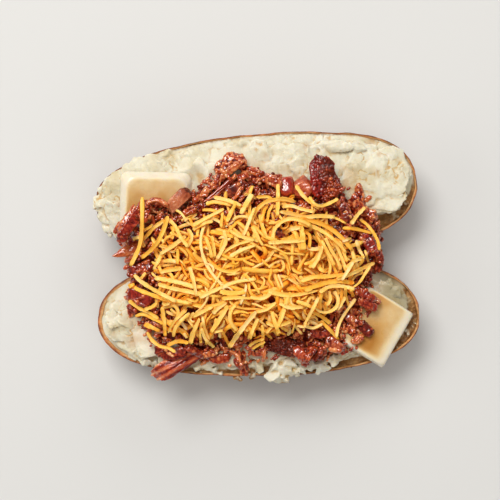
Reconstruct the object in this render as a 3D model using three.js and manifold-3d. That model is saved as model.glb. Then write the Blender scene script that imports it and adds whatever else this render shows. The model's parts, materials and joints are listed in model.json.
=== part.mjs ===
// Loaded baked potato: one long baking potato cut lengthwise and laid open, its fluffed flesh up,
// with two pats of butter, a heap of pulled beef in sauce across both halves and a heap of
// shredded cheese on top. Millimetres, +Z up. +X runs along the potato, +Y is the back half.
// The origin is the middle of the object's footprint, on the surface that it rests on.
import * as THREE from "three";
import { mergeVertices } from "three/addons/utils/BufferGeometryUtils.js";
import Module from "manifold-3d";

const wasm = await Module();
wasm.setup();

// ---- driving dimensions (mm) ----
const GAP = 0.35; // air left between neighbouring pieces
const ORIGIN = [0.016, 0.084]; // middle of the footprint in the working axes below
const FOOT = 0.3; // share of a half's outline that is its flat foot
const SKIN = 1.0; // thickness of the baked skin at the rim

// A half is a superellipse in plan: half length a, half widths out (free long side) and inn (side
// at the middle), taper fattens the +X end, tilt turns it about +Z.
const BACK = { x: 0, y: 35.2, a: 88, out: 31.4, inn: 33.4, n: 2.5, taper: 0.07, tilt: 4.5, side: 1, rim: 30.5, lean: 2.2, mound: 5.5, seed: 3.1 };
const FRONT = { x: 1.4, y: -34.9, a: 88.6, out: 30.4, inn: 35.8, n: 2.35, taper: 0.0, tilt: 0.9, side: -1, rim: 28.5, lean: 2.0, mound: 6.0, seed: 8.7 };

// Clumps of fluffed flesh that bulge over a rim: place, size and turn of each.
const BACK_CLUMPS = [
  { x: -84.6, y: 26.6, z: 29.8, rx: 4.6, ry: 6.2, rz: 4.6, turn: 20 },
  { x: -77.5, y: 15.0, z: 29.0, rx: 6.6, ry: 4.4, rz: 4.6, turn: -40 },
  { x: -64.5, y: 51.0, z: 31.0, rx: 7.5, ry: 3.4, rz: 4.0, turn: 28 },
  { x: -9.0, y: 64.4, z: 31.8, rx: 12.0, ry: 4.4, rz: 4.5, turn: 4 },
  { x: 60.0, y: 40.0, z: 34.0, rx: 16.0, ry: 13.0, rz: 5.0, turn: -18 },
];
const FRONT_CLUMPS = [
  { x: -62.0, y: -55.5, z: 29.5, rx: 9.5, ry: 9.0, rz: 6.5, turn: 12 },
  { x: -50.0, y: -58.5, z: 30.5, rx: 5.5, ry: 8.0, rz: 5.0, turn: -20 },
  { x: -24.5, y: -64.0, z: 28.5, rx: 6.0, ry: 5.0, rz: 4.5, turn: 10 },
  { x: -13.6, y: -60.5, z: 30.0, rx: 6.5, ry: 4.6, rz: 5.0, turn: 0 },
  { x: -5.0, y: -60.0, z: 29.5, rx: 6.0, ry: 6.0, rz: 5.0, turn: 0 },
  { x: 13.0, y: -61.0, z: 30.0, rx: 12.5, ry: 8.6, rz: 7.0, turn: 25 },
  { x: 38.0, y: -55.5, z: 30.5, rx: 13.0, ry: 6.0, rz: 5.5, turn: 22 },
  { x: 66.5, y: -58.5, z: 29.0, rx: 7.5, ry: 5.6, rz: 5.0, turn: 15 },
];

// Butter: rounded square pats, turned about +Z and then leaning towards the middle of the dish.
const PAT = { length: 37, width: 35, thick: 5.2, corner: 4.5, bevel: 0.9 };
const PAT_LEFT = { x: -55.0, y: 28.6, z: 36.6, turn: -1, leanX: 9, leanY: 7, length: 39, width: 35, thick: 5.2, bow: 0.0 };
const PAT_RIGHT = { x: 65.2, y: -38.4, z: 34.6, turn: -31, leanX: -3, leanY: 7, length: 31, width: 35, thick: 4.2, bow: 2.2 };

// Heaps: radius in plan as a mean and harmonics [cos, sin, cos 2, sin 2, ...] about a centre.
const BEEF = { x: -3.5, y: -3.5, plan: [61.8, 1.29, -3.78, 9.49, 0.81, 0.48, -1.35, -0.73, 0.51, -1.57, 3.65, -2.11, -0.39, 0.83, 0.8], edge: 3.4, crown: 12.0, lump: 1.5, wave: 19, seed: 5.3 };
const CHEESE = { x: -1.9, y: -6.2, plan: [53.0, -2.04, 0.78, 10.9, 4.69, 0.42, 0.42, -0.05, 1.79, 0.98, 1.08], edge: 1.8, crown: 7.0, lump: 1.2, wave: 16, seed: 1.9 };
// Knots of meat that stand out from the beef's outline.
const BEEF_KNOTS = [
  { x: -15.5, y: 45.6, z: 39.8, rx: 11.5, ry: 6.6, rz: 4.4, turn: 40, seed: 2.7 },
  { x: -59.5, y: 20.5, z: 39.0, rx: 11.0, ry: 5.4, rz: 4.0, turn: 52, seed: 5.2 },
  { x: 55.5, y: 34.0, z: 38.6, rx: 9.6, ry: 5.0, rz: 4.0, turn: -52, seed: 3.3 },
  { x: -8.6, y: -56.8, z: 35.0, rx: 3.6, ry: 8.4, rz: 3.8, turn: 8, seed: 6.4 },
  { x: 34.6, y: -53.0, z: 36.0, rx: 9.0, ry: 6.0, rz: 4.2, turn: 24, seed: 8.1 },
  { x: 55.0, y: -36.0, z: 38.2, rx: 6.2, ry: 8.6, rz: 4.2, turn: -24, seed: 4.9 },
];
const HEAP_SINK = 13; // how far the beef hangs into the notches between the halves, as height above the ground

// Large pieces of beef that lie in the heap: centre, half sizes, turn about +Z and lean.
const CHUNKS = {
  bark_piece_back: { x: 36.4, y: 41.6, z: 42.5, rx: 7.4, ry: 11.0, rz: 6.2, turn: 12, lean: 10, seed: 2.2 },
  slab_piece_back: { x: 25.0, y: 36.6, z: 41.6, rx: 6.6, ry: 6.4, rz: 4.8, turn: 30, lean: -8, seed: 4.4 },
  glazed_piece_back: { x: 16.3, y: 37.6, z: 42.6, rx: 4.2, ry: 6.2, rz: 4.6, turn: 14, lean: 0, seed: 6.1 },
  slice_piece_left: { x: -42.6, y: 30.2, z: 44.2, rx: 8.4, ry: 4.6, rz: 3.4, turn: 52, lean: 6, seed: 7.7 },
  wedge_piece_left: { x: -70.5, y: 3.6, z: 31.6, rx: 9.4, ry: 3.3, rz: 3.0, turn: 27, lean: 12, seed: 9.2 },
  striped_piece_front: { x: -43.6, y: -58.0, z: 37.6, rx: 13.4, ry: 5.6, rz: 3.6, turn: 30, lean: -6, seed: 1.4 },
  bark_piece_front: { x: 15.5, y: -49.0, z: 38.6, rx: 11.8, ry: 5.6, rz: 4.6, turn: -3, lean: 0, seed: 3.9 },
};

const COLOURS = {
  potato: { color: "#e9dcb4", roughness: 0.75, metalness: 0 },
  butter: { color: "#f2dfae", roughness: 0.35, metalness: 0 },
  beef: { color: "#7d2a1b", roughness: 0.3, metalness: 0 },
  cheese: { color: "#f6ab35", roughness: 0.5, metalness: 0 },
};

// ---- small helpers ----
const rad = (d) => (d * Math.PI) / 180;
const clamp = (v, a, b) => Math.min(b, Math.max(a, v));
const smooth = (a, b, v) => { const t = clamp((v - a) / (b - a), 0, 1); return t * t * (3 - 2 * t); };

// Smooth unevenness in [-1, 1]: five plane waves whose directions step by the golden angle.
function uneven(x, y, wave, seed) {
  let sum = 0;
  for (let i = 0; i < 5; i++) {
    const a = seed + i * 2.39996, k = (2 * Math.PI) / (wave * (1 + 0.27 * i));
    sum += Math.sin(k * (x * Math.cos(a) + y * Math.sin(a)) + seed * (i + 1) * 1.7);
  }
  return sum / 3.2;
}

// Point of a half's outline at angle t, grown outwards by grow.
function outline(h, t, grow = 0) {
  const c = Math.cos(t), s = Math.sin(t), e = 2 / h.n;
  const b = s * h.side > 0 ? h.out : h.inn;
  const u = (h.a + grow) * Math.sign(c) * Math.abs(c) ** e;
  const v = (b + grow) * Math.sign(s) * Math.abs(s) ** e * (1 + (h.taper * u) / h.a);
  const w = 0.5 * uneven(u, v, 40, h.seed);
  return [u + w * c, v + w * s];
}
// The line that the outline shrinks to, so that rings stay evenly wide along the potato.
const spine = (h, t) => [(h.a - 0.93 * h.out) * Math.cos(t), 0];
// Local (u, v) of a half to the working axes.
function placed(h, u, v) {
  const c = Math.cos(rad(h.tilt)), s = Math.sin(rad(h.tilt));
  return [h.x + u * c - v * s, h.y + u * s + v * c];
}
// Height of the rim: it drops towards the middle of the dish and wavers a little.
const rimHeight = (h, u, v) => h.rim + (h.lean * v * h.side) / h.out + 0.9 * Math.sin(u / 17 + h.seed) - 2.2 * Math.abs(u / h.a) ** 3;
// Height of the fluffed flesh at share f of the way from the spine to the rim.
function fleshHeight(h, u, v, f) {
  const [x, y] = placed(h, u, v);
  return rimHeight(h, u, v) + h.mound * (1 - smooth(0.35, 1.0, f)) + 1.1 * (1 - f * f) + smooth(1, 0.93, f) * 1.2 * uneven(x, y, 15, h.seed);
}

function solidFromRings(rings, closeStart, closeEnd) {
  // rings: arrays of [x, y, z] with the same count; the first and last collapse to a doubled line.
  const n = rings[0].length, pos = [], idx = [];
  rings.forEach((r) => r.forEach((p) => pos.push(...p)));
  for (let j = 0; j + 1 < rings.length; j++)
    for (let i = 0; i < n; i++) {
      const a = j * n + i, b = j * n + ((i + 1) % n), c = a + n, d = b + n;
      idx.push(a, b, c, b, d, c);
    }
  const g = new THREE.BufferGeometry();
  g.setAttribute("position", new THREE.Float32BufferAttribute(pos, 3));
  g.setIndex(idx);
  return toSolid(g);
}

function toSolid(geometry) {
  const g = geometry.clone();
  for (const name of Object.keys(g.attributes)) if (name !== "position") g.deleteAttribute(name);
  const m = mergeVertices(g, 1e-4);
  const p = m.attributes.position.array, src = m.index.array, tri = [];
  for (let i = 0; i < src.length; i += 3)
    if (src[i] !== src[i + 1] && src[i + 1] !== src[i + 2] && src[i] !== src[i + 2]) tri.push(src[i], src[i + 1], src[i + 2]);
  return new wasm.Manifold(new wasm.Mesh({ numProp: 3, vertProperties: new Float32Array(p), triVerts: new Uint32Array(tri) }));
}

function toMesh(name, solid, look) {
  const bodies = solid.decompose().sort((a, b) => b.volume() - a.volume());
  const m = bodies[0].getMesh();
  const g = new THREE.BufferGeometry();
  g.setAttribute("position", new THREE.Float32BufferAttribute(m.vertProperties, 3));
  g.setIndex(new THREE.BufferAttribute(m.triVerts, 1));
  const mesh = new THREE.Mesh(g, new THREE.MeshStandardMaterial(look));
  mesh.name = name;
  return mesh;
}

// One potato half: a boat of skin from a flat foot up to the rim, filled with fluffed flesh.
function half(h, grow = 0, N = 40) {
  const rings = [], ts = Array.from({ length: N }, (_, i) => (2 * Math.PI * i) / N);
  const ring = (f, height) => ts.map((t) => {
    const o = outline(h, t, grow), s = spine(h, t);
    const u = s[0] + (o[0] - s[0]) * f, v = s[1] + (o[1] - s[1]) * f;
    return [...placed(h, u, v), height(u, v, t)];
  });
  rings.push(ring(0, () => -grow));
  const B = 5;
  for (let j = 0; j <= B; j++) {
    const s = j / B, f = FOOT + (1 - FOOT) * Math.sin((s * Math.PI) / 2);
    rings.push(ring(f, (u, v) => (j === 0 ? -grow : rimHeight(h, u, v) * (1 - Math.cos((s * Math.PI) / 2)) + (j === B ? grow : 0))));
  }
  const inner = 1 - SKIN / h.out;
  for (const f of [inner, 0.82, 0.6, 0.36, 0.15, 0]) rings.push(ring(f, (u, v) => fleshHeight(h, u, v, f) + grow));
  return solidFromRings(rings);
}

// A lump with flat-ish facets: a sphere pushed in and out by the unevenness.
function lump(c, grow = 0, detail = [8, 5], rough = 0.2) {
  const g = new THREE.SphereGeometry(1, detail[0], detail[1]);
  const p = g.attributes.position;
  for (let i = 0; i < p.count; i++) {
    let x = p.getX(i), y = p.getY(i), z = p.getZ(i);
    const q = 1 + rough * uneven(x * 10 + y * 3, z * 10 - y * 5, 13, c.seed ?? c.x * 0.1);
    p.setXYZ(i, x * (c.rx * q + grow), y * (c.ry * q + grow), z * (c.rz * q + grow));
  }
  g.applyMatrix4(new THREE.Matrix4().makeRotationFromEuler(new THREE.Euler(0, rad(c.lean ?? 0), rad(c.turn), "ZYX")));
  g.translate(c.x, c.y, c.z);
  return toSolid(g);
}

// A blocky cut piece: a box with rounded edges, its sides a little uneven.
function block(c, grow = 0) {
  const n = 3, g = new THREE.BoxGeometry(2, 2, 2, n, n, n), p = g.attributes.position;
  for (let i = 0; i < p.count; i++) {
    let v = new THREE.Vector3(p.getX(i), p.getY(i), p.getZ(i));
    const r = (Math.abs(v.x) ** 5 + Math.abs(v.y) ** 5 + Math.abs(v.z) ** 5) ** 0.2;
    v.divideScalar(r);
    const q = 1 + 0.09 * uneven(v.x * 9 + v.z * 4, v.y * 9 - v.z * 3, 14, c.seed);
    p.setXYZ(i, v.x * (c.rx * q + grow), v.y * (c.ry * q + grow), v.z * (c.rz * q + grow));
  }
  g.applyMatrix4(new THREE.Matrix4().makeRotationFromEuler(new THREE.Euler(0, rad(c.lean), rad(c.turn), "ZYX")));
  g.translate(c.x, c.y, c.z);
  return toSolid(g);
}

// Butter pat: a rounded rectangle with bevelled edges, bowed where it has softened.
function pat(c, grow = 0) {
  const w = c.length / 2 - PAT.bevel, d = c.width / 2 - PAT.bevel, r = PAT.corner - PAT.bevel;
  const s = new THREE.Shape();
  s.moveTo(-w + r, -d);
  s.lineTo(w - r, -d); s.absarc(w - r, -d + r, r, -Math.PI / 2, 0, false);
  s.lineTo(w, d - r); s.absarc(w - r, d - r, r, 0, Math.PI / 2, false);
  s.lineTo(-w + r, d); s.absarc(-w + r, d - r, r, Math.PI / 2, Math.PI, false);
  s.lineTo(-w, -d + r); s.absarc(-w + r, -d + r, r, Math.PI, 1.5 * Math.PI, false);
  const g = new THREE.ExtrudeGeometry(s, { depth: c.thick - 2 * PAT.bevel, bevelEnabled: true, bevelThickness: PAT.bevel + grow, bevelSize: PAT.bevel + grow, bevelSegments: 1, curveSegments: 2 });
  g.translate(0, 0, -(c.thick - 2 * PAT.bevel) / 2);
  const p = g.attributes.position;
  for (let i = 0; i < p.count; i++) p.setZ(i, p.getZ(i) - c.bow * (p.getX(i) / (c.length / 2)) ** 2 * (p.getX(i) > 0 ? 1 : 0.4));
  const turn = new THREE.Matrix4().makeRotationZ(rad(c.turn)), lean = new THREE.Matrix4().makeRotationFromEuler(new THREE.Euler(rad(c.leanX), rad(c.leanY), 0));
  g.applyMatrix4(turn).applyMatrix4(lean);
  g.translate(c.x, c.y, c.z);
  return toSolid(g);
}

function planRadius(h, t) {
  let r = h.plan[0];
  for (let k = 1; 2 * k < h.plan.length + 1; k++) r += (h.plan[2 * k - 1] ?? 0) * Math.cos(k * t) + (h.plan[2 * k] ?? 0) * Math.sin(k * t);
  return r;
}
// The bed that the beef lies on: the middle of both halves, a smooth stand-in for their flesh.
const bedHeight = (x, y) => 35.2 - 5.5 * smooth(20, 72, Math.abs(y + 1)) - 3.0 * smooth(40, 80, Math.abs(x)) - 3.0 * Math.exp(-((y / 14) ** 2)) - 9 * Math.exp(-((y / 15) ** 2)) * smooth(48, 76, Math.abs(x));
const rho = (h, x, y) => Math.hypot(x - h.x, y - h.y) / planRadius(h, Math.atan2(y - h.y, x - h.x));
const crown = (h, q) => h.edge + h.crown * (1 - clamp(q, 0, 1) ** 2.3) ** 0.85;
const beefTop = (x, y) => bedHeight(x, y) + crown(BEEF, rho(BEEF, x, y)) + BEEF.lump * uneven(x, y, BEEF.wave, BEEF.seed);
const cheeseTop = (x, y) => beefTop(x, y) + crown(CHEESE, rho(CHEESE, x, y)) + CHEESE.lump * uneven(x, y, CHEESE.wave, CHEESE.seed);

// A heap: rings from the middle out to its uneven edge, then down and back under.
function heap(h, top, bottom, grow = 0, N = 40, shares = [0, 0.16, 0.32, 0.48, 0.64, 0.79, 0.92, 1]) {
  const ring = (f, height, g = 0) => Array.from({ length: N }, (_, i) => {
    const t = (2 * Math.PI * i) / N, r = planRadius(h, t) * f + (f > 0 ? g : 0) + (f > 0.5 ? f * 1.2 * Math.sin(9 * t + h.seed) * Math.sin(4 * t) : 0);
    const x = h.x + r * Math.cos(t), y = h.y + r * Math.sin(t);
    return [x, y, height(x, y)];
  });
  const rings = shares.map((f) => ring(f, (x, y) => top(x, y) + grow, f === 1 ? grow : 0));
  for (const f of [0.99, 0.78, 0.4, 0]) rings.push(ring(f, (x, y) => bottom(x, y) - grow, f === 0.99 ? grow : 0));
  rings.reverse();
  return solidFromRings(rings);
}

// ---- the pieces ----
const beefFloor = (x, y) => {
  const notch = smooth(44, 60, Math.abs(x));
  return 27.5 + (HEAP_SINK - 27.5) * notch * Math.exp(-((y / 16) ** 2));
};
const patLeft = pat(PAT_LEFT), patRight = pat(PAT_RIGHT);
const patCut = pat(PAT_LEFT, GAP).add(pat(PAT_RIGHT, GAP));

let back = half(BACK);
for (const c of BACK_CLUMPS) back = back.add(lump(c));
let backCut = half(BACK, GAP);
for (const c of BACK_CLUMPS) backCut = backCut.add(lump(c, GAP));
let front = half(FRONT);
for (const c of FRONT_CLUMPS) front = front.add(lump(c));
let frontCut = half(FRONT, GAP);
for (const c of FRONT_CLUMPS) frontCut = frontCut.add(lump(c, GAP));
back = back.subtract(patCut);
front = front.subtract(backCut).subtract(patCut);

const potatoCut = backCut.add(frontCut);
const chunks = {};
let chunkCut = null;
for (const [name, c] of Object.entries(CHUNKS)) {
  let s = block(c).subtract(potatoCut).subtract(patCut);
  if (chunkCut) s = s.subtract(chunkCut);
  chunks[name] = s;
  const g = block(c, GAP);
  chunkCut = chunkCut ? chunkCut.add(g) : g;
}
let beef = heap(BEEF, beefTop, beefFloor), beefCut = heap(BEEF, beefTop, beefFloor, GAP);
for (const c of BEEF_KNOTS) {
  beef = beef.add(lump(c));
  beefCut = beefCut.add(lump(c, GAP));
}
beef = beef.subtract(potatoCut).subtract(patCut).subtract(chunkCut);
const cheese = heap(CHEESE, cheeseTop, (x, y) => beefTop(x, y) - 3, 0, 34, [0, 0.15, 0.3, 0.45, 0.6, 0.74, 0.88, 1])
  .subtract(beefCut).subtract(chunkCut).subtract(potatoCut).subtract(patCut);

const potato = new THREE.Group();
potato.add(toMesh("potato_half_back", back, COLOURS.potato), toMesh("potato_half_front", front, COLOURS.potato));
const toppings = new THREE.Group();
toppings.add(toMesh("butter_pat_left", patLeft, COLOURS.butter), toMesh("butter_pat_right", patRight, COLOURS.butter));
toppings.add(toMesh("pulled_beef", beef, COLOURS.beef), toMesh("shredded_cheese", cheese, COLOURS.cheese));
for (const [name, s] of Object.entries(chunks)) toppings.add(toMesh(name, s, COLOURS.beef));

const dish = new THREE.Group();
dish.add(potato, toppings);
dish.position.set(-ORIGIN[0], -ORIGIN[1], 0);
const loadedPotato = new THREE.Group();
loadedPotato.add(dish);

export default loadedPotato;
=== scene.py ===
"""Looks of the loaded baked potato: flesh, skin, butter, pulled beef and shredded cheese as real meshes.

Working axes are millimetres as in the CAD (+X along the potato, +Y the back half, +Z up); to_row turns them
into metres in the row frame. Everything random is seeded.
"""
import json
import math

import bmesh
import bpy
import numpy as np
from mathutils import Matrix, Vector
from mathutils.bvhtree import BVHTree

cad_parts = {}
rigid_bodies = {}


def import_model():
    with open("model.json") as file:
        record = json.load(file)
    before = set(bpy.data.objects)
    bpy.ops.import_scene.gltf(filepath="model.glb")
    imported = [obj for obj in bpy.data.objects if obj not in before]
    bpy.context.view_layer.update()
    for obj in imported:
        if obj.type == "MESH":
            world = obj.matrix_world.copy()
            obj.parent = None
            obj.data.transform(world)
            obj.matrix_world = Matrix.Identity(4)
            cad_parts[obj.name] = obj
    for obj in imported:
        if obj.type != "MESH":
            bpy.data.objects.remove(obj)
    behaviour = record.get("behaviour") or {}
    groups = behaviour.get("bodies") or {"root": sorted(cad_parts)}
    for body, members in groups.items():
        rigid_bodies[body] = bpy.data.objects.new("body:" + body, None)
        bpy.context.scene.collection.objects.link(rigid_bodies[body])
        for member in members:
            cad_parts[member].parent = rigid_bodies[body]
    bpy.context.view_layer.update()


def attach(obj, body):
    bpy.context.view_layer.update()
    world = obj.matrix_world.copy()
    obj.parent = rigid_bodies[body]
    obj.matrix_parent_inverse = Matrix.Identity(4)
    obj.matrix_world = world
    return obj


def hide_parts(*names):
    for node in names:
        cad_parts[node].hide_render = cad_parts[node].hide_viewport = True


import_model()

# ------------------------------------------------------------------ sizes of the frame, as in the CAD
OX, OY = 0.016, 0.084
BACK = dict(x=0, y=35.2, a=88, out=31.4, inn=33.4, n=2.5, taper=0.07, tilt=4.5, side=1, rim=30.5, lean=2.2, mound=5.5, seed=3.1)
FRONT = dict(x=1.4, y=-34.9, a=88.6, out=30.4, inn=35.8, n=2.35, taper=0.0, tilt=0.9, side=-1, rim=28.5, lean=2.0, mound=6.0, seed=8.7)
FOOT = 0.3
PAT_LEFT = dict(x=-55.0, y=28.6, z=36.6, turn=-1, leanX=9, leanY=7, length=39, width=35, thick=5.2)
PAT_RIGHT = dict(x=65.2, y=-38.4, z=34.6, turn=-31, leanX=-3, leanY=7, length=31, width=35, thick=4.2)
BEEF = dict(x=-3.5, y=-3.5, plan=[61.8, 1.29, -3.78, 9.49, 0.81, 0.48, -1.35, -0.73, 0.51, -1.57, 3.65, -2.11, -0.39, 0.83, 0.8], edge=3.4, crown=12.0, lump=1.5, wave=19, seed=5.3)
CHEESE = dict(x=-1.9, y=-6.2, plan=[53.0, -2.04, 0.78, 10.9, 4.69, 0.42, 0.42, -0.05, 1.79, 0.98, 1.08], edge=1.8, crown=7.0, lump=1.2, wave=16, seed=1.9)
HEAP_SINK = 13.0
CHUNKS = {
    "bark_piece_back": dict(x=36.4, y=41.6, z=42.5, rx=7.4, ry=11.0, rz=6.2, turn=12, lean=10, seed=2.2),
    "slab_piece_back": dict(x=25.0, y=36.6, z=41.6, rx=6.6, ry=6.4, rz=4.8, turn=30, lean=-8, seed=4.4),
    "glazed_piece_back": dict(x=16.3, y=37.6, z=42.6, rx=4.2, ry=6.2, rz=4.6, turn=14, lean=0, seed=6.1),
    "slice_piece_left": dict(x=-42.6, y=30.2, z=44.2, rx=8.4, ry=4.6, rz=3.4, turn=52, lean=6, seed=7.7),
    "wedge_piece_left": dict(x=-70.5, y=3.6, z=31.6, rx=9.4, ry=3.3, rz=3.0, turn=27, lean=12, seed=9.2),
    "striped_piece_front": dict(x=-43.6, y=-58.0, z=37.6, rx=13.4, ry=5.6, rz=3.6, turn=30, lean=-6, seed=1.4),
    "bark_piece_front": dict(x=15.5, y=-49.0, z=38.6, rx=11.8, ry=5.6, rz=4.6, turn=-3, lean=0, seed=3.9),
}

# The camera looks straight down; one pixel of its 500 covers MM_PX at the height of the cut faces.
CAM_X, CAM_Y, CAM_Z, MM_PX, CUT_Z = -3.575, 3.575, 900.0, 0.55, 30.0


def at_px(x, y, z=42.0):
    """Working millimetres of a place in the camera's 500 by 500 frame, at height z."""
    s = MM_PX * (CAM_Z - z) / (CAM_Z - CUT_Z)
    return CAM_X + (np.asarray(x, float) - 250) * s, CAM_Y + (250 - np.asarray(y, float)) * s


def smooth(a, b, v):
    t = np.clip((np.asarray(v, float) - a) / (b - a), 0, 1)
    return t * t * (3 - 2 * t)


def uneven(x, y, wave, seed):
    total = 0
    for i in range(5):
        a, k = seed + i * 2.39996, 2 * math.pi / (wave * (1 + 0.27 * i))
        total = total + np.sin(k * (x * math.cos(a) + y * math.sin(a)) + seed * (i + 1) * 1.7)
    return total / 3.2


def outline(h, t):
    c, s, e = np.cos(t), np.sin(t), 2 / h["n"]
    b = np.where(s * h["side"] > 0, h["out"], h["inn"])
    u = h["a"] * np.sign(c) * np.abs(c) ** e
    v = b * np.sign(s) * np.abs(s) ** e * (1 + h["taper"] * u / h["a"])
    w = 0.5 * uneven(u, v, 40, h["seed"])
    return u + w * c, v + w * s


def spine(h, t):
    return (h["a"] - 0.93 * h["out"]) * np.cos(t), 0 * t


def placed(h, u, v):
    c, s = math.cos(math.radians(h["tilt"])), math.sin(math.radians(h["tilt"]))
    return h["x"] + u * c - v * s, h["y"] + u * s + v * c


def rim_height(h, u, v):
    return h["rim"] + h["lean"] * v * h["side"] / h["out"] + 0.9 * np.sin(u / 17 + h["seed"]) - 2.2 * np.abs(u / h["a"]) ** 3


def plan_radius(h, t):
    r = h["plan"][0]
    for i, c in enumerate(h["plan"][1:]):
        k = i // 2 + 1
        r = r + c * (np.cos(k * t) if i % 2 == 0 else np.sin(k * t))
    return r


def rho(h, x, y):
    return np.hypot(x - h["x"], y - h["y"]) / plan_radius(h, np.arctan2(y - h["y"], x - h["x"]))


def bed_height(x, y):
    return (35.2 - 5.5 * smooth(20, 72, np.abs(y + 1)) - 3.0 * smooth(40, 80, np.abs(x)) - 3.0 * np.exp(-((y / 14) ** 2))
            - 9 * np.exp(-((y / 15) ** 2)) * smooth(48, 76, np.abs(x)))


def crown(h, q):
    return h["edge"] + h["crown"] * (1 - np.clip(q, 0, 1) ** 2.3) ** 0.85


def beef_top(x, y):
    return bed_height(x, y) + crown(BEEF, rho(BEEF, x, y)) + BEEF["lump"] * uneven(x, y, BEEF["wave"], BEEF["seed"])


def cheese_top(x, y):
    return beef_top(x, y) + crown(CHEESE, rho(CHEESE, x, y)) + CHEESE["lump"] * uneven(x, y, CHEESE["wave"], CHEESE["seed"])


# ------------------------------------------------------------------ noise
_p = np.random.default_rng(7).permutation(256)
_p = np.concatenate([_p, _p, _p])
_g = np.random.default_rng(8).normal(size=(256, 3))
_g /= np.linalg.norm(_g, axis=1)[:, None]


def perlin(p):
    i = np.floor(p).astype(np.int64)
    f = p - i
    u = f * f * f * (f * (f * 6 - 15) + 10)
    out = np.zeros(len(p))
    for dx in (0, 1):
        for dy in (0, 1):
            for dz in (0, 1):
                g = _g[_p[_p[_p[(i[:, 0] + dx) & 255] + ((i[:, 1] + dy) & 255)] + ((i[:, 2] + dz) & 255)]]
                d = g[:, 0] * (f[:, 0] - dx) + g[:, 1] * (f[:, 1] - dy) + g[:, 2] * (f[:, 2] - dz)
                w = (u[:, 0] if dx else 1 - u[:, 0]) * (u[:, 1] if dy else 1 - u[:, 1]) * (u[:, 2] if dz else 1 - u[:, 2])
                out += w * d
    return out * 1.6


def fbm(p, wave, octaves=3, gain=0.5, seed=0.0):
    """Noise in about [-1, 1] at points p (mm); wave is a length, or one for each axis."""
    q = np.asarray(p, float).reshape(-1, 3) / np.asarray(wave, float) + 17.31 * (seed + 1)
    total, amp, norm = 0, 1.0, 0
    for o in range(octaves):
        total = total + amp * perlin(q * 2**o + 31.7 * o)
        norm += amp
        amp *= gain
    return total / norm


def grains(p, wave, seed=0.0):
    """Cells of about that size: the height of each one's own tilted plane in about [-1, 1], how far its edge is, and its own number in [-1, 1]."""
    q = np.asarray(p, float) / wave + 9.7 * seed
    c = np.floor(q).astype(np.int64)
    best, second, h, own = np.full(len(q), 9.0), np.full(len(q), 9.0), np.zeros(len(q)), np.zeros(len(q))
    for dx in (-1, 0, 1):
        for dy in (-1, 0, 1):
            for dz in (-1, 0, 1):
                i = c + (dx, dy, dz)
                k = _p[_p[_p[i[:, 0] & 255] + (i[:, 1] & 255)] + (i[:, 2] & 255)]
                d = q - (i + 0.5 + 0.42 * _g[k])
                r = (d * d).sum(1)
                m = r < best
                second = np.where(m, best, np.minimum(second, r))
                best = np.where(m, r, best)
                h = np.where(m, (d * _g[(k * 7 + 3) & 255]).sum(1), h)
                own = np.where(m, k / 127.5 - 1, own)
    return np.clip(1.5 * h, -1, 1), np.sqrt(second) - np.sqrt(best), own


def facets(p, wave, seed=0.0):
    """Broken planes, and how far each one's edge is."""
    return grains(p, wave, seed)[:2]


def fibres_of(P, wave, seed):
    """Noise drawn out into fibres that lie one way in one patch and another way in the next."""
    total, norm = 0, 0
    for k in range(5):
        c, s = math.cos(k * math.pi / 5), math.sin(k * math.pi / 5)
        w = np.exp(7 * fbm(P, 10, 1, 0.5, seed + k))
        total = total + w * fbm(P @ np.array([[c, -s, 0], [s, c, 0], [0, 0, 1.0]]), wave, 2, 0.55, seed + 20 + k)
        norm = norm + w
    return total / norm


def rot(rx, ry, rz):
    """Turn about X, then Y, then Z, in degrees."""
    return np.array(Matrix.Rotation(math.radians(rz), 3, "Z") @ Matrix.Rotation(math.radians(ry), 3, "Y") @ Matrix.Rotation(math.radians(rx), 3, "X"))


# ------------------------------------------------------------------ meshes
def to_row(v):
    v = np.array(v, float)
    v[..., 0] -= OX
    v[..., 1] -= OY
    return v / 1000


def mesh_from(name, V, quads=(), tris=(), flat=False):
    """A mesh from millimetre points and arrays of quads and triangles."""
    quads, tris = np.asarray(quads, np.int32).reshape(-1, 4), np.asarray(tris, np.int32).reshape(-1, 3)
    me = bpy.data.meshes.new(name)
    me.vertices.add(len(V))
    me.vertices.foreach_set("co", to_row(V).astype(np.float32).ravel())
    loops = np.concatenate([quads.ravel(), tris.ravel()])
    me.loops.add(len(loops))
    me.loops.foreach_set("vertex_index", loops)
    me.polygons.add(len(quads) + len(tris))
    me.polygons.foreach_set("loop_start", np.concatenate([np.arange(len(quads)) * 4, len(quads) * 4 + np.arange(len(tris)) * 3]).astype(np.int32))
    me.polygons.foreach_set("use_smooth", np.full(len(quads) + len(tris), not flat))
    me.update(calc_edges=True)
    me.validate()
    return me


def co(me):
    v = np.empty(len(me.vertices) * 3, np.float32)
    me.vertices.foreach_get("co", v)
    v = v.reshape(-1, 3).astype(float) * 1000
    v[:, 0] += OX
    v[:, 1] += OY
    return v


def set_co(me, V):
    me.vertices.foreach_set("co", to_row(V).astype(np.float32).ravel())
    me.update()


def normals(me):
    v = np.empty(len(me.vertices) * 3, np.float32)
    me.vertices.foreach_get("normal", v)
    return v.reshape(-1, 3).astype(float)


def edges_of(me):
    e = np.empty(len(me.edges) * 2, np.int32)
    me.edges.foreach_get("vertices", e)
    return e.reshape(-1, 2)


def relax(V, E, times, k=0.5):
    n = len(V)
    deg = np.maximum(np.bincount(E.ravel(), minlength=n), 1)[:, None]
    for _ in range(times):
        s = np.stack([np.bincount(E[:, 0], V[E[:, 1], a], n) + np.bincount(E[:, 1], V[E[:, 0], a], n) for a in range(3)], 1)
        V = V + k * (s / deg - V)
    return V


def attr(me, name, values, kind="FLOAT"):
    a = me.attributes.new(name, kind, "POINT")
    a.data.foreach_set("value" if kind == "FLOAT" else "vector", np.asarray(values, np.float32).ravel())


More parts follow.
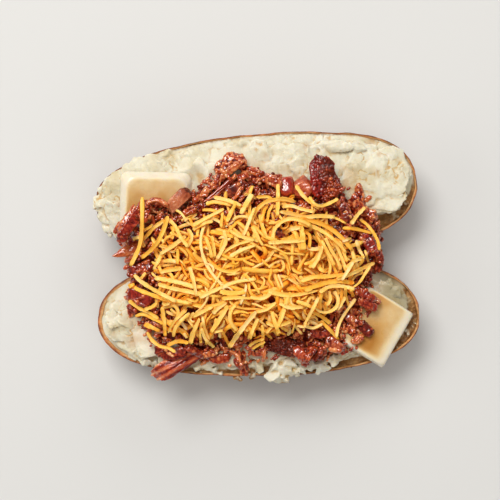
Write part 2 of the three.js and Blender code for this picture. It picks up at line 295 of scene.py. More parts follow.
def add(name, me, mats, slot, *replaced):
    ob = bpy.data.objects.new(name, me)
    bpy.context.scene.collection.objects.link(ob)
    for m in mats if isinstance(mats, (list, tuple)) else [mats]:
        me.materials.append(m)
    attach(ob, "root")
    if replaced:
        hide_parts(*replaced)
    return ob


def welded(me):
    """Joins the points that lie in one place, and gives the old number of each that stays."""
    bm = bmesh.new()
    bm.from_mesh(me)
    was = bm.verts.layers.int.new("was")
    for v in bm.verts:
        v[was] = v.index
    bmesh.ops.remove_doubles(bm, verts=bm.verts, dist=2e-6)
    bmesh.ops.dissolve_degenerate(bm, edges=bm.edges, dist=1e-7)
    keep = np.array([v[was] for v in bm.verts])
    bm.verts.layers.int.remove(was)
    bm.to_mesh(me)
    bm.free()
    me.update()
    return keep


def islands(n, E):
    """A number for each vertex, the same for all that hang together."""
    L = np.arange(n)
    while True:
        a, M = np.minimum(L[E[:, 0]], L[E[:, 1]]), L.copy()
        np.minimum.at(M, E[:, 0], a)
        np.minimum.at(M, E[:, 1], a)
        M = M[M]
        M = M[M]
        if (M == L).all():
            return L
        L = M


def whole(me):
    """Takes out what isn't joined to the largest body."""
    L = islands(len(me.vertices), edges_of(me))
    many = np.bincount(L)
    drop = L != many.argmax()
    if drop.any():
        bm = bmesh.new()
        bm.from_mesh(me)
        bm.verts.ensure_lookup_table()
        bmesh.ops.delete(bm, geom=[bm.verts[i] for i in np.flatnonzero(drop)], context="VERTS")
        bm.to_mesh(me)
        bm.free()
        me.update()
    return me


def remeshed(V, tris, quads, voxel, budget, ease=2):
    """The union of closed shells as one even skin of at most budget triangles: voxel remesh, in mm."""
    me = mesh_from("tmp", V, quads, tris)
    ob = bpy.data.objects.new("tmp", me)
    bpy.context.scene.collection.objects.link(ob)
    m = ob.modifiers.new("r", "REMESH")
    m.mode = "VOXEL"
    m.voxel_size = voxel / 1000
    m.adaptivity = 0
    full = bpy.data.meshes.new_from_object(ob.evaluated_get(bpy.context.evaluated_depsgraph_get()))
    ob.modifiers.clear()
    V = relax(co(full), edges_of(full), ease)
    set_co(full, V)
    faces = 2 * len(full.polygons)
    ob.data = full
    bpy.data.meshes.remove(me)
    if faces > budget:
        d = ob.modifiers.new("d", "DECIMATE")
        d.ratio = budget / faces
        d.use_collapse_triangulate = True
        out = bpy.data.meshes.new_from_object(ob.evaluated_get(bpy.context.evaluated_depsgraph_get()))
    else:
        out = full.copy()
    bpy.data.objects.remove(ob)
    bpy.data.meshes.remove(full)
    out = whole(out)
    out.polygons.foreach_set("use_smooth", np.full(len(out.polygons), True))
    return out


def held(V):
    """Keeps the scattered pieces from reaching more than a little past the size of the part."""
    V = V.copy()
    for a, lo, hi in ((0, -89.5, 89.5), (1, -69.6, 69.6)):
        V[:, a] = np.where(V[:, a] < lo, lo + 0.2 * (V[:, a] - lo), np.where(V[:, a] > hi, hi + 0.2 * (V[:, a] - hi), V[:, a]))
    V[:, 2] = np.clip(V[:, 2], 0, 59.4)
    return V


def ring_grid(rings, closed=True):
    """Quads over rings of equal count; rings is (R, N, 3)."""
    R, N = rings.shape[:2]
    j, i = np.meshgrid(np.arange(R - 1), np.arange(N if closed else N - 1), indexing="ij")
    a, b = j * N + i, j * N + (i + 1) % N
    return rings.reshape(-1, 3), np.stack([a, b, b + N, a + N], -1).reshape(-1, 4)


def hull_library(count, points, seed, jitter=0.22):
    out, r = [], np.random.default_rng(seed)
    for _ in range(count):
        p = r.normal(size=(points, 3))
        p /= np.linalg.norm(p, axis=1)[:, None]
        p *= 1 - jitter * r.random((points, 1))
        bm = bmesh.new()
        for q in p:
            bm.verts.new(q)
        bmesh.ops.convex_hull(bm, input=bm.verts)
        loose = [v for v in bm.verts if not v.link_faces]
        bmesh.ops.delete(bm, geom=loose, context="VERTS")
        bmesh.ops.triangulate(bm, faces=bm.faces)
        bmesh.ops.recalc_face_normals(bm, faces=bm.faces)
        bm.verts.index_update()
        out.append((np.array([v.co[:] for v in bm.verts]), np.array([[v.index for v in f.verts] for f in bm.faces])))
        bm.free()
    return out


def ball(detail):
    bm = bmesh.new()
    bmesh.ops.create_icosphere(bm, subdivisions=detail, radius=1)
    v = np.array([q.co[:] for q in bm.verts])
    f = np.array([[q.index for q in t.verts] for t in bm.faces])
    bm.free()
    return v, f


def ball_library(count, detail, rough, seed):
    """Rough little lumps: icospheres pushed about by noise."""
    out = []
    v, f = ball(detail)
    for k in range(count):
        d = 1 + rough * fbm(v, 0.9, 2, 0.6, seed + k * 3.1)
        out.append((v * d[:, None], f))
    return out


class Pile:
    """Collects many small shells into one pair of arrays."""

    def __init__(self):
        self.V, self.T, self.Q, self.A, self.n = [], [], [], {}, 0

    def put(self, V, tris=None, quads=None, **attrs):
        self.V.append(V)
        if tris is not None and len(tris):
            self.T.append(np.asarray(tris) + self.n)
        if quads is not None and len(quads):
            self.Q.append(np.asarray(quads) + self.n)
        for k, a in attrs.items():
            a = np.asarray(a, float)
            if a.ndim == 0:
                a = np.full(len(V), float(a))
            self.A.setdefault(k, []).append(a)
        self.n += len(V)

    def arrays(self):
        return (np.concatenate(self.V), np.concatenate(self.T) if self.T else np.zeros((0, 3), int), np.concatenate(self.Q) if self.Q else np.zeros((0, 4), int))

    def mesh(self, name, flat=False):
        V, T, Q = self.arrays()
        me = mesh_from(name, V, Q, T, flat)
        for k, a in self.A.items():
            a = np.concatenate(a)
            attr(me, k, a, "FLOAT" if a.ndim == 1 else "FLOAT_VECTOR")
        return me


# ------------------------------------------------------------------ height map that things are laid on
class Heights:
    def __init__(self, step=0.5):
        self.s, self.x0, self.y0 = step, -98.0, -76.0
        self.nx, self.ny = int(196 / step) + 1, int(152 / step) + 1
        self.H = np.zeros((self.nx, self.ny))

    def look(self, *meshes):
        """Heights of the top surface of these meshes."""
        V, F, n = [], [], 0
        for me in meshes:
            me.calc_loop_triangles()
            t = np.empty(len(me.loop_triangles) * 3, np.int32)
            me.loop_triangles.foreach_get("vertices", t)
            v = co(me)
            V.append(v)
            F.append(t.reshape(-1, 3) + n)
            n += len(v)
        V, F = np.concatenate(V), np.concatenate(F)
        # Each triangle is sampled on its own small net, and every sample raises its cell.
        A, B, C = V[F[:, 0]], V[F[:, 1]], V[F[:, 2]]
        size = np.maximum(np.abs(B - A)[:, :2].max(1), np.abs(C - A)[:, :2].max(1))
        for n in (1, 2, 4, 8, 16, 32):
            m = (size > self.s * n / 2 * (0 if n == 1 else 1)) & ((size <= self.s * n) | (n == 32))
            if not m.any():
                continue
            k = 2 * n
            for a in range(k + 1):
                for b in range(k + 1 - a):
                    p = (A[m] * (k - a - b) + B[m] * a + C[m] * b) / k
                    i = np.rint((p[:, 0] - self.x0) / self.s).astype(int)
                    j = np.rint((p[:, 1] - self.y0) / self.s).astype(int)
                    ok = (i >= 0) & (i < self.nx) & (j >= 0) & (j < self.ny)
                    np.maximum.at(self.H, (i[ok], j[ok]), p[ok, 2])
        return self

    def at(self, x, y):
        fx, fy = (np.asarray(x) - self.x0) / self.s, (np.asarray(y) - self.y0) / self.s
        i, j = np.clip(fx.astype(int), 0, self.nx - 2), np.clip(fy.astype(int), 0, self.ny - 2)
        a, b = np.clip(fx - i, 0, 1), np.clip(fy - j, 0, 1)
        H = self.H
        return H[i, j] * (1 - a) * (1 - b) + H[i + 1, j] * a * (1 - b) + H[i, j + 1] * (1 - a) * b + H[i + 1, j + 1] * a * b

    def over(self, x, y, r):
        """Highest of the middle and four places at distance r."""
        d = 0.71 * r
        return np.max([self.at(x, y), self.at(x + d, y + d), self.at(x - d, y - d), self.at(x + d, y - d), self.at(x - d, y + d)], 0)

    def dome(self, x, y, z, a, b, c, turn):
        """Raises the map to an ellipsoid with half sizes a, b, c, turned by degrees."""
        n = int(math.ceil(max(a, b) / self.s)) + 1
        i, j = int(round((x - self.x0) / self.s)), int(round((y - self.y0) / self.s))
        if i - n < 0 or j - n < 0 or i + n >= self.nx or j + n >= self.ny:
            return
        X = (self.x0 + self.s * np.arange(i - n, i + n + 1) - x)[:, None]
        Y = (self.y0 + self.s * np.arange(j - n, j + n + 1) - y)[None, :]
        k, m = math.cos(math.radians(turn)), math.sin(math.radians(turn))
        d = ((X * k + Y * m) / a) ** 2 + ((Y * k - X * m) / b) ** 2
        w = self.H[i - n : i + n + 1, j - n : j + n + 1]
        np.maximum(w, np.where(d < 1, z + c * np.sqrt(np.clip(1 - d, 0, 1)), -1), out=w)

    def stamp(self, x, y, z, r):
        """Raises the map to a round-backed strand through these points; r is its half width, z its top."""
        n = int(math.ceil(r / self.s))
        for a, b, c in zip(x, y, z):
            i, j = int(round((a - self.x0) / self.s)), int(round((b - self.y0) / self.s))
            if i - n < 0 or j - n < 0 or i + n >= self.nx or j + n >= self.ny:
                continue
            X = self.x0 + self.s * np.arange(i - n, i + n + 1) - a
            Y = self.y0 + self.s * np.arange(j - n, j + n + 1) - b
            d = (X[:, None] ** 2 + Y[None, :] ** 2) / (r * r)
            w = self.H[i - n : i + n + 1, j - n : j + n + 1]
            np.maximum(w, np.where(d < 1, c - 0.35 * r * d, -1), out=w)


# ------------------------------------------------------------------ materials
class Mat:
    def __init__(self, name):
        self.m = bpy.data.materials.new(name)
        self.m.use_nodes = True
        self.t = self.m.node_tree
        self.t.nodes.clear()
        self.out = self.t.nodes.new("ShaderNodeOutputMaterial")
        self.b = self.t.nodes.new("ShaderNodeBsdfPrincipled")
        self.t.links.new(self.b.outputs[0], self.out.inputs["Surface"])

    def set(self, **kw):
        names = dict(rough="Roughness", sss="Subsurface Weight", sss_radius="Subsurface Radius", sss_scale="Subsurface Scale", coat="Coat Weight", coat_rough="Coat Roughness",
                     ior="IOR", spec="Specular IOR Level", sheen="Sheen Weight", sheen_rough="Sheen Roughness", color="Base Color", coat_ior="Coat IOR", sss_ior="Subsurface Anisotropy")
        for k, v in kw.items():
            self.b.inputs[names[k]].default_value = v
        return self

    def node(self, kind, **kw):
        n = self.t.nodes.new(kind)
        for k, v in kw.items():
            setattr(n, k, v)
        return n

    def link(self, a, b):
        self.t.links.new(a, b)

    def attribute(self, name, vector=False):
        n = self.node("ShaderNodeAttribute", attribute_name=name)
        return n.outputs["Vector"] if vector else n.outputs["Fac"]

    def coords(self):
        return self.node("ShaderNodeTexCoord").outputs["Object"]

    def noise(self, scale_mm, detail=3, rough=0.55, vector=None, distortion=0.0, squash=None):
        n = self.node("ShaderNodeTexNoise")
        n.inputs["Detail"].default_value = detail
        n.inputs["Roughness"].default_value = rough
        n.inputs["Distortion"].default_value = distortion
        n.inputs["Scale"].default_value = 1.0
        m = self.node("ShaderNodeMapping")
        k = 1000.0 / scale_mm if vector is None else 1.0 / scale_mm
        m.inputs["Scale"].default_value = (k,) * 3 if squash is None else tuple(k * q for q in squash)
        self.link(vector if vector is not None else self.coords(), m.inputs["Vector"])
        self.link(m.outputs[0], n.inputs["Vector"])
        return n.outputs["Fac"]

    def ramp(self, fac, stops):
        n = self.node("ShaderNodeValToRGB")
        e = n.color_ramp.elements
        while len(e) > 1:
            e.remove(e[-1])
        for i, (p, c) in enumerate(stops):
            q = e[0] if i == 0 else e.new(p)
            q.position = p
            q.color = (c, c, c, 1) if np.isscalar(c) else (*c, 1)
        self.link(fac, n.inputs["Fac"])
        return n.outputs["Color"]

    def mix(self, fac, a, b, mode="MIX"):
        n = self.node("ShaderNodeMix", data_type="RGBA", blend_type=mode)
        for s, v in ((n.inputs[0], fac), (n.inputs[6], a), (n.inputs[7], b)):
            if hasattr(v, "links"):
                self.link(v, s)
            else:
                s.default_value = v if np.isscalar(v) else (*v, 1)
        return n.outputs[2]

    def math(self, op, a, b=0.0, clamp=False):
        n = self.node("ShaderNodeMath", operation=op, use_clamp=clamp)
        for s, v in zip(n.inputs, (a, b)):
            if hasattr(v, "links"):
                self.link(v, s)
            else:
                s.default_value = v
        return n.outputs[0]

    def color(self, c):
        self.link(c, self.b.inputs["Base Color"])
        return self

    def roughness(self, c):
        self.link(c, self.b.inputs["Roughness"])
        return self

    def bump(self, *layers):
        """Layers of (height socket, depth in mm), each on the one before."""
        last = None
        for h, mm in layers:
            n = self.node("ShaderNodeBump")
            n.inputs["Strength"].default_value = 1.0
            n.inputs["Distance"].default_value = mm / 1000
            self.link(h, n.inputs["Height"])
            if last is not None:
                self.link(last, n.inputs["Normal"])
            last = n.outputs[0]
        self.link(last, self.b.inputs["Normal"])
        return self


def srgb(r, g, b):
    return tuple(((c / 255 + 0.055) / 1.055) ** 2.4 if c > 10.3 else c / 255 / 12.92 for c in (r, g, b))


def flesh_material():
    m = Mat("potato_flesh").set(sss=0.4, sss_radius=(1.0, 0.8, 0.52), sss_scale=0.0018, spec=0.5, ior=1.4)
    cav, stain, wet, husk = m.attribute("cav"), m.attribute("stain"), m.attribute("wet"), m.attribute("husk")
    n1 = m.noise(10, 4, 0.6)
    n2 = m.noise(2.2, 3, 0.6)
    body = m.ramp(n1, [(0.30, srgb(206, 195, 163)), (0.48, srgb(217, 211, 187)), (0.70, srgb(224, 220, 203))])
    body = m.mix(m.ramp(n2, [(0.4, 0.0), (0.8, 0.3)]), body, srgb(232, 225, 205))
    # Painted shade and painted light: hollows and creases are painted a darker tan, raised places a paler cream.
    body = m.mix(m.ramp(cav, [(0.0, 0.9), (0.22, 0.55), (0.42, 0.0)]), body, srgb(204, 162, 96))
    body = m.mix(m.ramp(cav, [(0.6, 0.0), (0.9, 0.45)]), body, srgb(238, 232, 214))
    body = m.mix(m.ramp(wet, [(0.0, 0.0), (1.0, 0.75)]), body, srgb(196, 174, 124))
    under = m.ramp(m.noise(3.0, 5, 0.65, squash=(0.5, 1, 1)), [(0.3, srgb(106, 68, 34)), (0.5, srgb(144, 102, 58)), (0.72, srgb(190, 152, 102))])
    body = m.mix(m.attribute("grey"), body, srgb(150, 136, 98))
    body = m.mix(husk, body, under)
    body = m.mix(m.ramp(stain, [(0.0, 0.0), (1.0, 0.92)]), body, srgb(186, 124, 40))
    m.color(body)
    m.roughness(m.ramp(n2, [(0.3, 0.3), (0.7, 0.5)]))
    m.bump((m.noise(3.2, 4, 0.6), 0.4), (m.noise(0.9, 3, 0.6), 0.18))
    return m.m


def skin_material():
    m = Mat("baked_skin").set(spec=0.4)
    inner, rim, deep = m.attribute("inner"), m.attribute("rim"), m.attribute("deep")
    big = m.noise(26, 4, 0.6, squash=(0.7, 1, 1))
    net = m.noise(5.0, 6, 0.72, distortion=0.6, squash=(0.55, 1, 1))
    fine = m.noise(1.3, 5, 0.7)
    dots = m.node("ShaderNodeTexVoronoi")
    dots.inputs["Scale"].default_value = 1.0
    mp = m.node("ShaderNodeMapping")
    mp.inputs["Scale"].default_value = (1000 / 7.5, 1000 / 5.5, 1000 / 5.5)
    m.link(m.coords(), mp.inputs["Vector"])
    m.link(mp.outputs[0], dots.inputs["Vector"])
    outer = m.ramp(net, [(0.28, srgb(92, 54, 26)), (0.44, srgb(136, 86, 44)), (0.56, srgb(166, 114, 62)), (0.72, srgb(196, 150, 94))])
    outer = m.mix(m.ramp(big, [(0.35, 0.0), (0.7, 0.6)]), outer, srgb(114, 64, 28))
    outer = m.mix(m.ramp(dots.outputs["Distance"], [(0.04, 0.85), (0.14, 0.0)]), outer, srgb(70, 40, 20))
    outer = m.mix(m.ramp(fine, [(0.42, 0.0), (0.72, 0.45)]), outer, srgb(186, 138, 84))
    streak = m.noise(3.0, 5, 0.7, squash=(0.4, 1, 1))
    cut = m.ramp(streak, [(0.3, srgb(176, 108, 54)), (0.5, srgb(214, 158, 98)), (0.72, srgb(232, 196, 144))])
    # Painted shade: further down inside the skin its brown streaks are painted darker.
    shaded_well = m.ramp(streak, [(0.3, srgb(98, 62, 30)), (0.5, srgb(136, 96, 52)), (0.72, srgb(172, 134, 86))])
    c = m.mix(inner, outer, m.mix(deep, cut, shaded_well))
    edge = m.ramp(m.noise(5.0, 4, 0.7), [(0.36, srgb(74, 26, 10)), (0.5, srgb(132, 60, 24)), (0.64, srgb(192, 110, 52))])
    c = m.mix(rim, c, edge)
    m.color(c)
    m.roughness(m.ramp(net, [(0.3, 0.45), (0.7, 0.72)]))
    m.bump((net, 0.5), (fine, 0.16))
    return m.m


def butter_material():
    m = Mat("butter").set(sss=0.45, sss_radius=(1.0, 0.75, 0.4), sss_scale=0.003, spec=0.5, ior=1.45, coat=0.2, coat_rough=0.15)
    face = m.attribute("face")
    n = m.noise(8, 3, 0.5)
    f = m.math("ADD", face, m.math("MULTIPLY", m.math("SUBTRACT", n, 0.5), 0.4), clamp=True)
    # Face value from cream to tan: melted butter's own tan together with painted shade.
    m.color(m.ramp(f, [(0.0, srgb(232, 222, 200)), (0.3, srgb(229, 206, 160)), (0.6, srgb(207, 162, 98)), (1.0, srgb(180, 122, 52))]))
    m.roughness(m.ramp(n, [(0.3, 0.22), (0.7, 0.4)]))
    m.bump((m.noise(2.6, 3, 0.5), 0.12), (m.noise(12, 2, 0.5), 0.4))
    return m.m


def beef_material():
    m = Mat("beef_in_sauce").set(sss=0.2, sss_radius=(1.0, 0.26, 0.1), sss_scale=0.0014, spec=0.25, coat_rough=0.13, coat_ior=1.9)
    tone, sco, oil, red = m.attribute("tone"), m.attribute("sco", True), m.attribute("oil"), m.attribute("red")
    n1 = m.noise(2.6, 4, 0.65)
    n2 = m.noise(0.9, 3, 0.6)
    grain = m.noise(1.0, 4, 0.65, vector=sco)
    # The tone attribute carries painted shade and painted light from the meshes, darker in hollows and lighter on
    # ridges.
    t = m.math("ADD", tone, m.math("MULTIPLY", m.math("SUBTRACT", n1, 0.5), 0.5))
    t = m.math("ADD", t, m.math("MULTIPLY", m.math("SUBTRACT", grain, 0.5), 0.5), clamp=True)
    c = m.ramp(t, [(0.0, srgb(70, 6, 1)), (0.2, srgb(124, 28, 8)), (0.4, srgb(180, 66, 26)), (0.58, srgb(214, 114, 58)), (0.78, srgb(232, 156, 96)), (1.0, srgb(240, 190, 142))])
    o = m.math("ADD", oil, m.math("MULTIPLY", m.math("SUBTRACT", m.noise(6.5, 3, 0.5), 0.56), 3.0), clamp=True)
    c = m.mix(m.math("MULTIPLY", o, 0.6), c, srgb(206, 84, 24))
    c = m.mix(red, c, m.ramp(t, [(0.0, srgb(56, 3, 2)), (0.25, srgb(116, 12, 8)), (0.5, srgb(162, 28, 18)), (0.75, srgb(196, 70, 46)), (1.0, srgb(224, 140, 108))]))
    c = m.mix(m.attribute("brown"), c, m.ramp(t, [(0.0, srgb(58, 18, 10)), (0.25, srgb(116, 48, 28)), (0.5, srgb(168, 90, 58)), (0.75, srgb(200, 130, 94)), (1.0, srgb(224, 172, 136))]))
    m.color(c)
    m.roughness(m.ramp(n2, [(0.3, 0.36), (0.7, 0.58)]))
    m.link(m.math("MULTIPLY", m.attribute("gloss"), m.ramp(tone, [(0.04, 0.15), (0.26, 1.0)])), m.b.inputs["Coat Weight"])
    m.bump((grain, 0.14), (n2, 0.08))
    b = m.node("ShaderNodeBump")
    b.inputs["Distance"].default_value = 0.045 / 1000
    m.link(n2, b.inputs["Height"])
    m.link(b.outputs[0], m.b.inputs["Coat Normal"])
    return m.m


def cheese_material():
    m = Mat("shredded_cheddar").set(sss=0.3, sss_radius=(1.0, 0.7, 0.35), sss_scale=0.0004, spec=0.4, ior=1.42)
    tone, sco = m.attribute("tone"), m.attribute("sco", True)
    n1 = m.noise(4.0, 3, 0.55)
    grain = m.noise(1.0, 4, 0.6, vector=sco)
    t = m.math("ADD", tone, m.math("MULTIPLY", m.math("SUBTRACT", n1, 0.5), 0.4))
    t = m.math("ADD", t, m.math("MULTIPLY", m.math("SUBTRACT", grain, 0.5), 0.35))
    # Painted light: faces that look up get a paler tone.
    t = m.math("ADD", t, m.ramp(m.attribute("up"), [(0.0, 0.0), (0.5, 0.1), (1.0, 0.28)]), clamp=True)
    m.color(m.ramp(t, [(0.0, srgb(250, 108, 12)), (0.18, srgb(253, 137, 22)), (0.38, srgb(255, 176, 50)), (0.6, srgb(255, 195, 82)), (0.8, srgb(255, 208, 116)), (1.0, srgb(255, 222, 158))]))
    m.roughness(m.ramp(grain, [(0.3, 0.34), (0.7, 0.52)]))
    m.bump((grain, 0.1), (m.noise(1.1, 3, 0.6), 0.08))
    return m.m


FLESH, SKIN, BUTTER, MEAT, CHEDDAR = flesh_material(), skin_material(), butter_material(), beef_material(), cheese_material()

# ------------------------------------------------------------------ potato skin
# Places round each rim where the flesh stands back from the skin: frame pixel and millimetres.
RECESS = {
    "back": [(97, 200, 0.4), (110, 180, 0.7), (135, 161, 0.6), (160, 152, 0.3), (200, 145, 0.4), (240, 139, 0.2), (280, 135, 0.4), (335, 130, 0.5), (372, 134, 0.8), (398, 146, 0.6),
             (408, 160, 0.6), (415, 178, 0.8), (412, 195, 2.6), (400, 212, 6.5), (388, 226, 9.0), (376, 236, 7.0), (340, 250, 3.0), (250, 255, 2.0), (150, 250, 1.0), (117, 237, 0.8), (104, 226, 0.3), (98, 210, 0.3)],
    "front": [(120, 285, 0.6), (104, 302, 0.6), (98, 320, 0.5), (106, 338, 0.5), (124, 350, 1.0), (145, 360, 0.4), (187, 371, 2.0), (225, 375, 2.2), (268, 377, 3.4), (303, 377, 3.4), (335, 374, 5.6),
              (358, 373, 4.6), (387, 365, 3.5), (404, 355, 8.0), (414, 338, 9.0), (419, 318, 8.5), (412, 300, 4.0), (404, 288, 1.2), (393, 272, 1.2), (381, 264, 1.6), (330, 258, 2.0), (250, 258, 1.0), (150, 265, 1.0)],
}


def recess(h, key, t):
    """Millimetres between the rim and the flesh at angle t of the outline."""
    c = placed(h, 0, 0)
    p = np.array(RECESS[key], float)
    x, y = at_px(p[:, 0], p[:, 1], 30)
    tilt = math.radians(h["tilt"])
    dx, dy = x - c[0], y - c[1]
    u, v = dx * math.cos(tilt) + dy * math.sin(tilt), -dx * math.sin(tilt) + dy * math.cos(tilt)
    uu, vv = outline(h, t)
    a0, a1 = np.arctan2(v / h["out"], u / h["a"]), np.arctan2(vv / h["out"], uu / h["a"])
    o = np.argsort(a0)
    a, r = a0[o], p[o, 2]
    return np.interp(a1, np.concatenate([a - 2 * math.pi, a, a + 2 * math.pi]), np.concatenate([r, r, r]))


def lip(h, key, t):
    """Width in mm of the cut edge of the skin."""
    x, y = placed(h, *outline(h, t))
    w = 1.0 + 0.75 * fbm(np.stack([x, y, 0 * x], 1), 10, 3, 0.6, h["seed"] + 33)
    if key == "front":
        w = w + 0.9 * smooth(-50, -80, x)
    return np.clip(w, 0.45, 2.4)


def skin(h, key):
    N = 340
    t = 2 * math.pi * np.arange(N) / N
    ou, ov = outline(h, t)
    su, sv = spine(h, t)
    d = np.hypot(ou - su, ov - sv)
    w = lip(h, key, t)

    def ring(f, z=None, s=None):
        u, v = su + (ou - su) * f, sv + (ov - sv) * f
        x, y = placed(h, u, v)
        if z is None:
            z = rim_height(h, u, v) * (1 - math.cos(s * math.pi / 2))
        return np.stack([x, y, z + 0 * x], 1)

    outer = [ring(f, 0.0) for f in (0.0, 0.1, 0.2)]
    S = np.linspace(0, 1, 40)
    outer += [ring(FOOT + (1 - FOOT) * math.sin(s * math.pi / 2), None, s) for s in S]
    inner = [ring(1 - k * w / d, None, 1) - [0, 0, z] for k, z in ((0.35, -0.12), (0.7, 0.0), (1.0, 0.3))]
    inner_S = np.concatenate([np.linspace(0.985, 0.6, 12), [0.45, 0.3, 0.15]])
    inner += [ring((FOOT + (1 - FOOT) * math.sin(s * math.pi / 2)) - (w + 0.25) / d, None, s) + [0, 0, 0.2] for s in inner_S] + [ring(f, 1.0) for f in (0.15, 0.0)]
    rings = np.array(outer + inner)
    nO, nR = len(outer), len(rings)
    V, Q = ring_grid(rings)
    # Wrinkles run along the potato; the rim wavers, curls and frays.
    P = V.copy()
    cx, cy = placed(h, su, sv)
    axis = np.tile(np.stack([cx, cy, np.full(N, 26.0)], 1), (nR, 1))
    out = P - axis
    out /= np.linalg.norm(out, axis=1)[:, None] + 1e-9
    row = np.repeat(np.arange(nR), N)
    lift = smooth(2, 9, P[:, 2])
    wr = 0.5 * (0.5 - np.abs(fbm(P, (30, 7, 7), 3, 0.5, h["seed"]))) + 0.45 * fbm(P, 16, 2, 0.5, h["seed"] + 3) + 0.16 * (0.5 - np.abs(fbm(P, (6, 2.4, 2.4), 2, 0.5, h["seed"] + 5)))
    V = V + out * (wr * lift)[:, None]
    flat = np.stack([P[:, 0], P[:, 1], 0 * P[:, 2]], 1)
    top = np.where(row < nO, smooth(nO - 9, nO - 1, row), smooth(nO + 11, nO + 2, row))
    V[:, 2] += top * (0.75 * fbm(flat, 9, 3, 0.6, h["seed"] + 9) + 0.3)
    curl = fbm(flat + [0, 0, 40], 15, 2, 0.5, h["seed"] + 11)
    V[:, :2] += out[:, :2] * (top**2 * 0.7 * curl)[:, None]
    V[:, 2] = np.maximum(V[:, 2], 0.0)
    V[:N, 2] = 0
    me = mesh_from("skin_" + key, held(V), Q)
    row = row[welded(me)]
    attr(me, "inner", np.where(row < nO, 0.0, 1.0))
    attr(me, "rim", np.clip(np.exp(-((row - nO + 0.5) / 1.3) ** 2) + 0.4 * smooth(nO - 9, nO - 1, row) * (row < nO), 0, 1))
    # Painted shade: deep grows down the inside of the skin, where its colour is painted darker.
    attr(me, "deep", np.clip((row - nO - 1.5) / 9.0, 0, 1))
    return me


# ------------------------------------------------------------------ potato flesh
HULLS = hull_library(28, 15, 11)
SHARP = hull_library(26, 10, 14, 0.3)
BROAD = hull_library(18, 40, 12, 0.16)
RIM_CLUMPS = {  # frame pixel, half sizes in mm, turn, height, how many chunks
    "back": [(99, 203, 5.2, 5.6, 3.8, 10, 31.6, 12), (94, 206, 2.6, 2.0, 2.4, 0, 31.0, 4), (103, 216, 4.6, 4.2, 3.4, -20, 31.2, 8), (107, 228, 4.2, 3.6, 3.2, -35, 30.4, 8), (110, 234, 1.6, 2.8, 2.2, 0, 29.4, 3), (103, 190, 4.0, 3.4, 2.6, 0, 31.8, 5), (166, 154, 4.4, 2.4, 2.2, 24, 34.0, 5), (168, 151, 2.0, 1.6, 1.8, 0, 34.2, 2),
             (240, 143, 9.0, 3.0, 2.6, 6, 33.6, 9), (228, 142, 3.0, 2.0, 2.4, 0, 33.4, 3), (196, 152, 8.0, 2.4, 2.2, 12, 33.8, 5), (335, 146, 12.0, 4.5, 1.5, -4, 36.2, 0), (358, 148, 6.0, 3.2, 2.4, -16, 36.4, 4),
             (393, 157, 5.5, 4.0, 2.4, -36, 33.6, 8), (397, 196, 4.0, 4.0, 2.8, -60, 32.2, 6), (380, 192, 5.0, 5.0, 2.2, 0, 34.8, 5), (357, 165, 6.0, 4.4, 2.0, 20, 37.0, 4)],
    "front": [(141, 352, 6.4, 5.0, 4.4, 10, 32.2, 12), (147, 362, 4.6, 2.6, 3.6, -6, 31.0, 8), (156, 364, 2.4, 3.2, 3.2, 10, 30.6, 5), (176, 376, 3.8, 4.4, 2.6, -10, 30.8, 6), (200, 364, 7.5, 3.6, 3.6, -6, 32.6, 9), (217, 371, 4.2, 2.8, 3.4, 0, 31.0, 7),
              (236, 375, 1.8, 4.4, 3.0, 26, 30.4, 6), (254, 364, 4.8, 6.0, 4.4, 0, 32.6, 12), (252, 375, 3.0, 2.6, 3.0, 0, 30.4, 4), (284, 367, 9.4, 5.6, 4.6, 14, 33.4, 22), (283, 378, 5.2, 3.4, 3.6, 4, 31.2, 9), (299, 369, 3.8, 4.2, 3.6, 30, 32.4, 7),
              (274, 376, 3.0, 2.6, 3.0, -30, 30.4, 4), (318, 366, 9.0, 3.4, 3.4, 4, 33.0, 10), (334, 360, 5.5, 3.6, 3.2, 30, 33.4, 7), (346, 354, 5.5, 4.0, 3.2, 24, 33.8, 8),
              (361, 365, 3.4, 3.6, 3.2, 0, 31.6, 6), (371, 371, 4.2, 3.0, 3.0, 16, 30.8, 7), (383, 367, 2.8, 2.0, 2.4, -38, 30.4, 4), (391, 357, 1.8, 2.2, 2.2, 0, 30.6, 3), (120, 318, 8.0, 9.0, 1.8, 0, 33.2, 5), (388, 287, 6.5, 6.0, 2.0, -30, 32.6, 5)],
}


def flesh_surface(h, u, v, f):
    x, y = placed(h, u, v)
    return (rim_height(h, u, v) + h["mound"] * (1 - smooth(0.35, 1.0, f)) + 1.1 * (1 - f * f) - 0.35
            + smooth(1, 0.93, f) * (0.9 * uneven(x, y, 15, h["seed"])))


def seated(V, c):
    """Flesh gives way under a pat, and rises from its edge in a gentle bank."""
    R = rot(c["leanX"], c["leanY"], 0) @ rot(0, 0, c["turn"])
    q = (V - [c["x"], c["y"], c["z"]]) @ R
    dx, dy = np.abs(q[:, 0]) - c["length"] / 2 + 2, np.abs(q[:, 1]) - c["width"] / 2 + 2
    away = np.hypot(np.maximum(dx, 0), np.maximum(dy, 0)) + np.minimum(np.maximum(dx, dy), 0) - 2
    most = 0.9 - c["thick"] / 2 + (0.34 * away + 0.5 * fbm(V, 5, 2, 0.5, 401)) * (away > 0)
    V = V.copy()
    V[:, 2] -= np.maximum(q[:, 2] - most, 0) * smooth(9, 3, away)
    return V


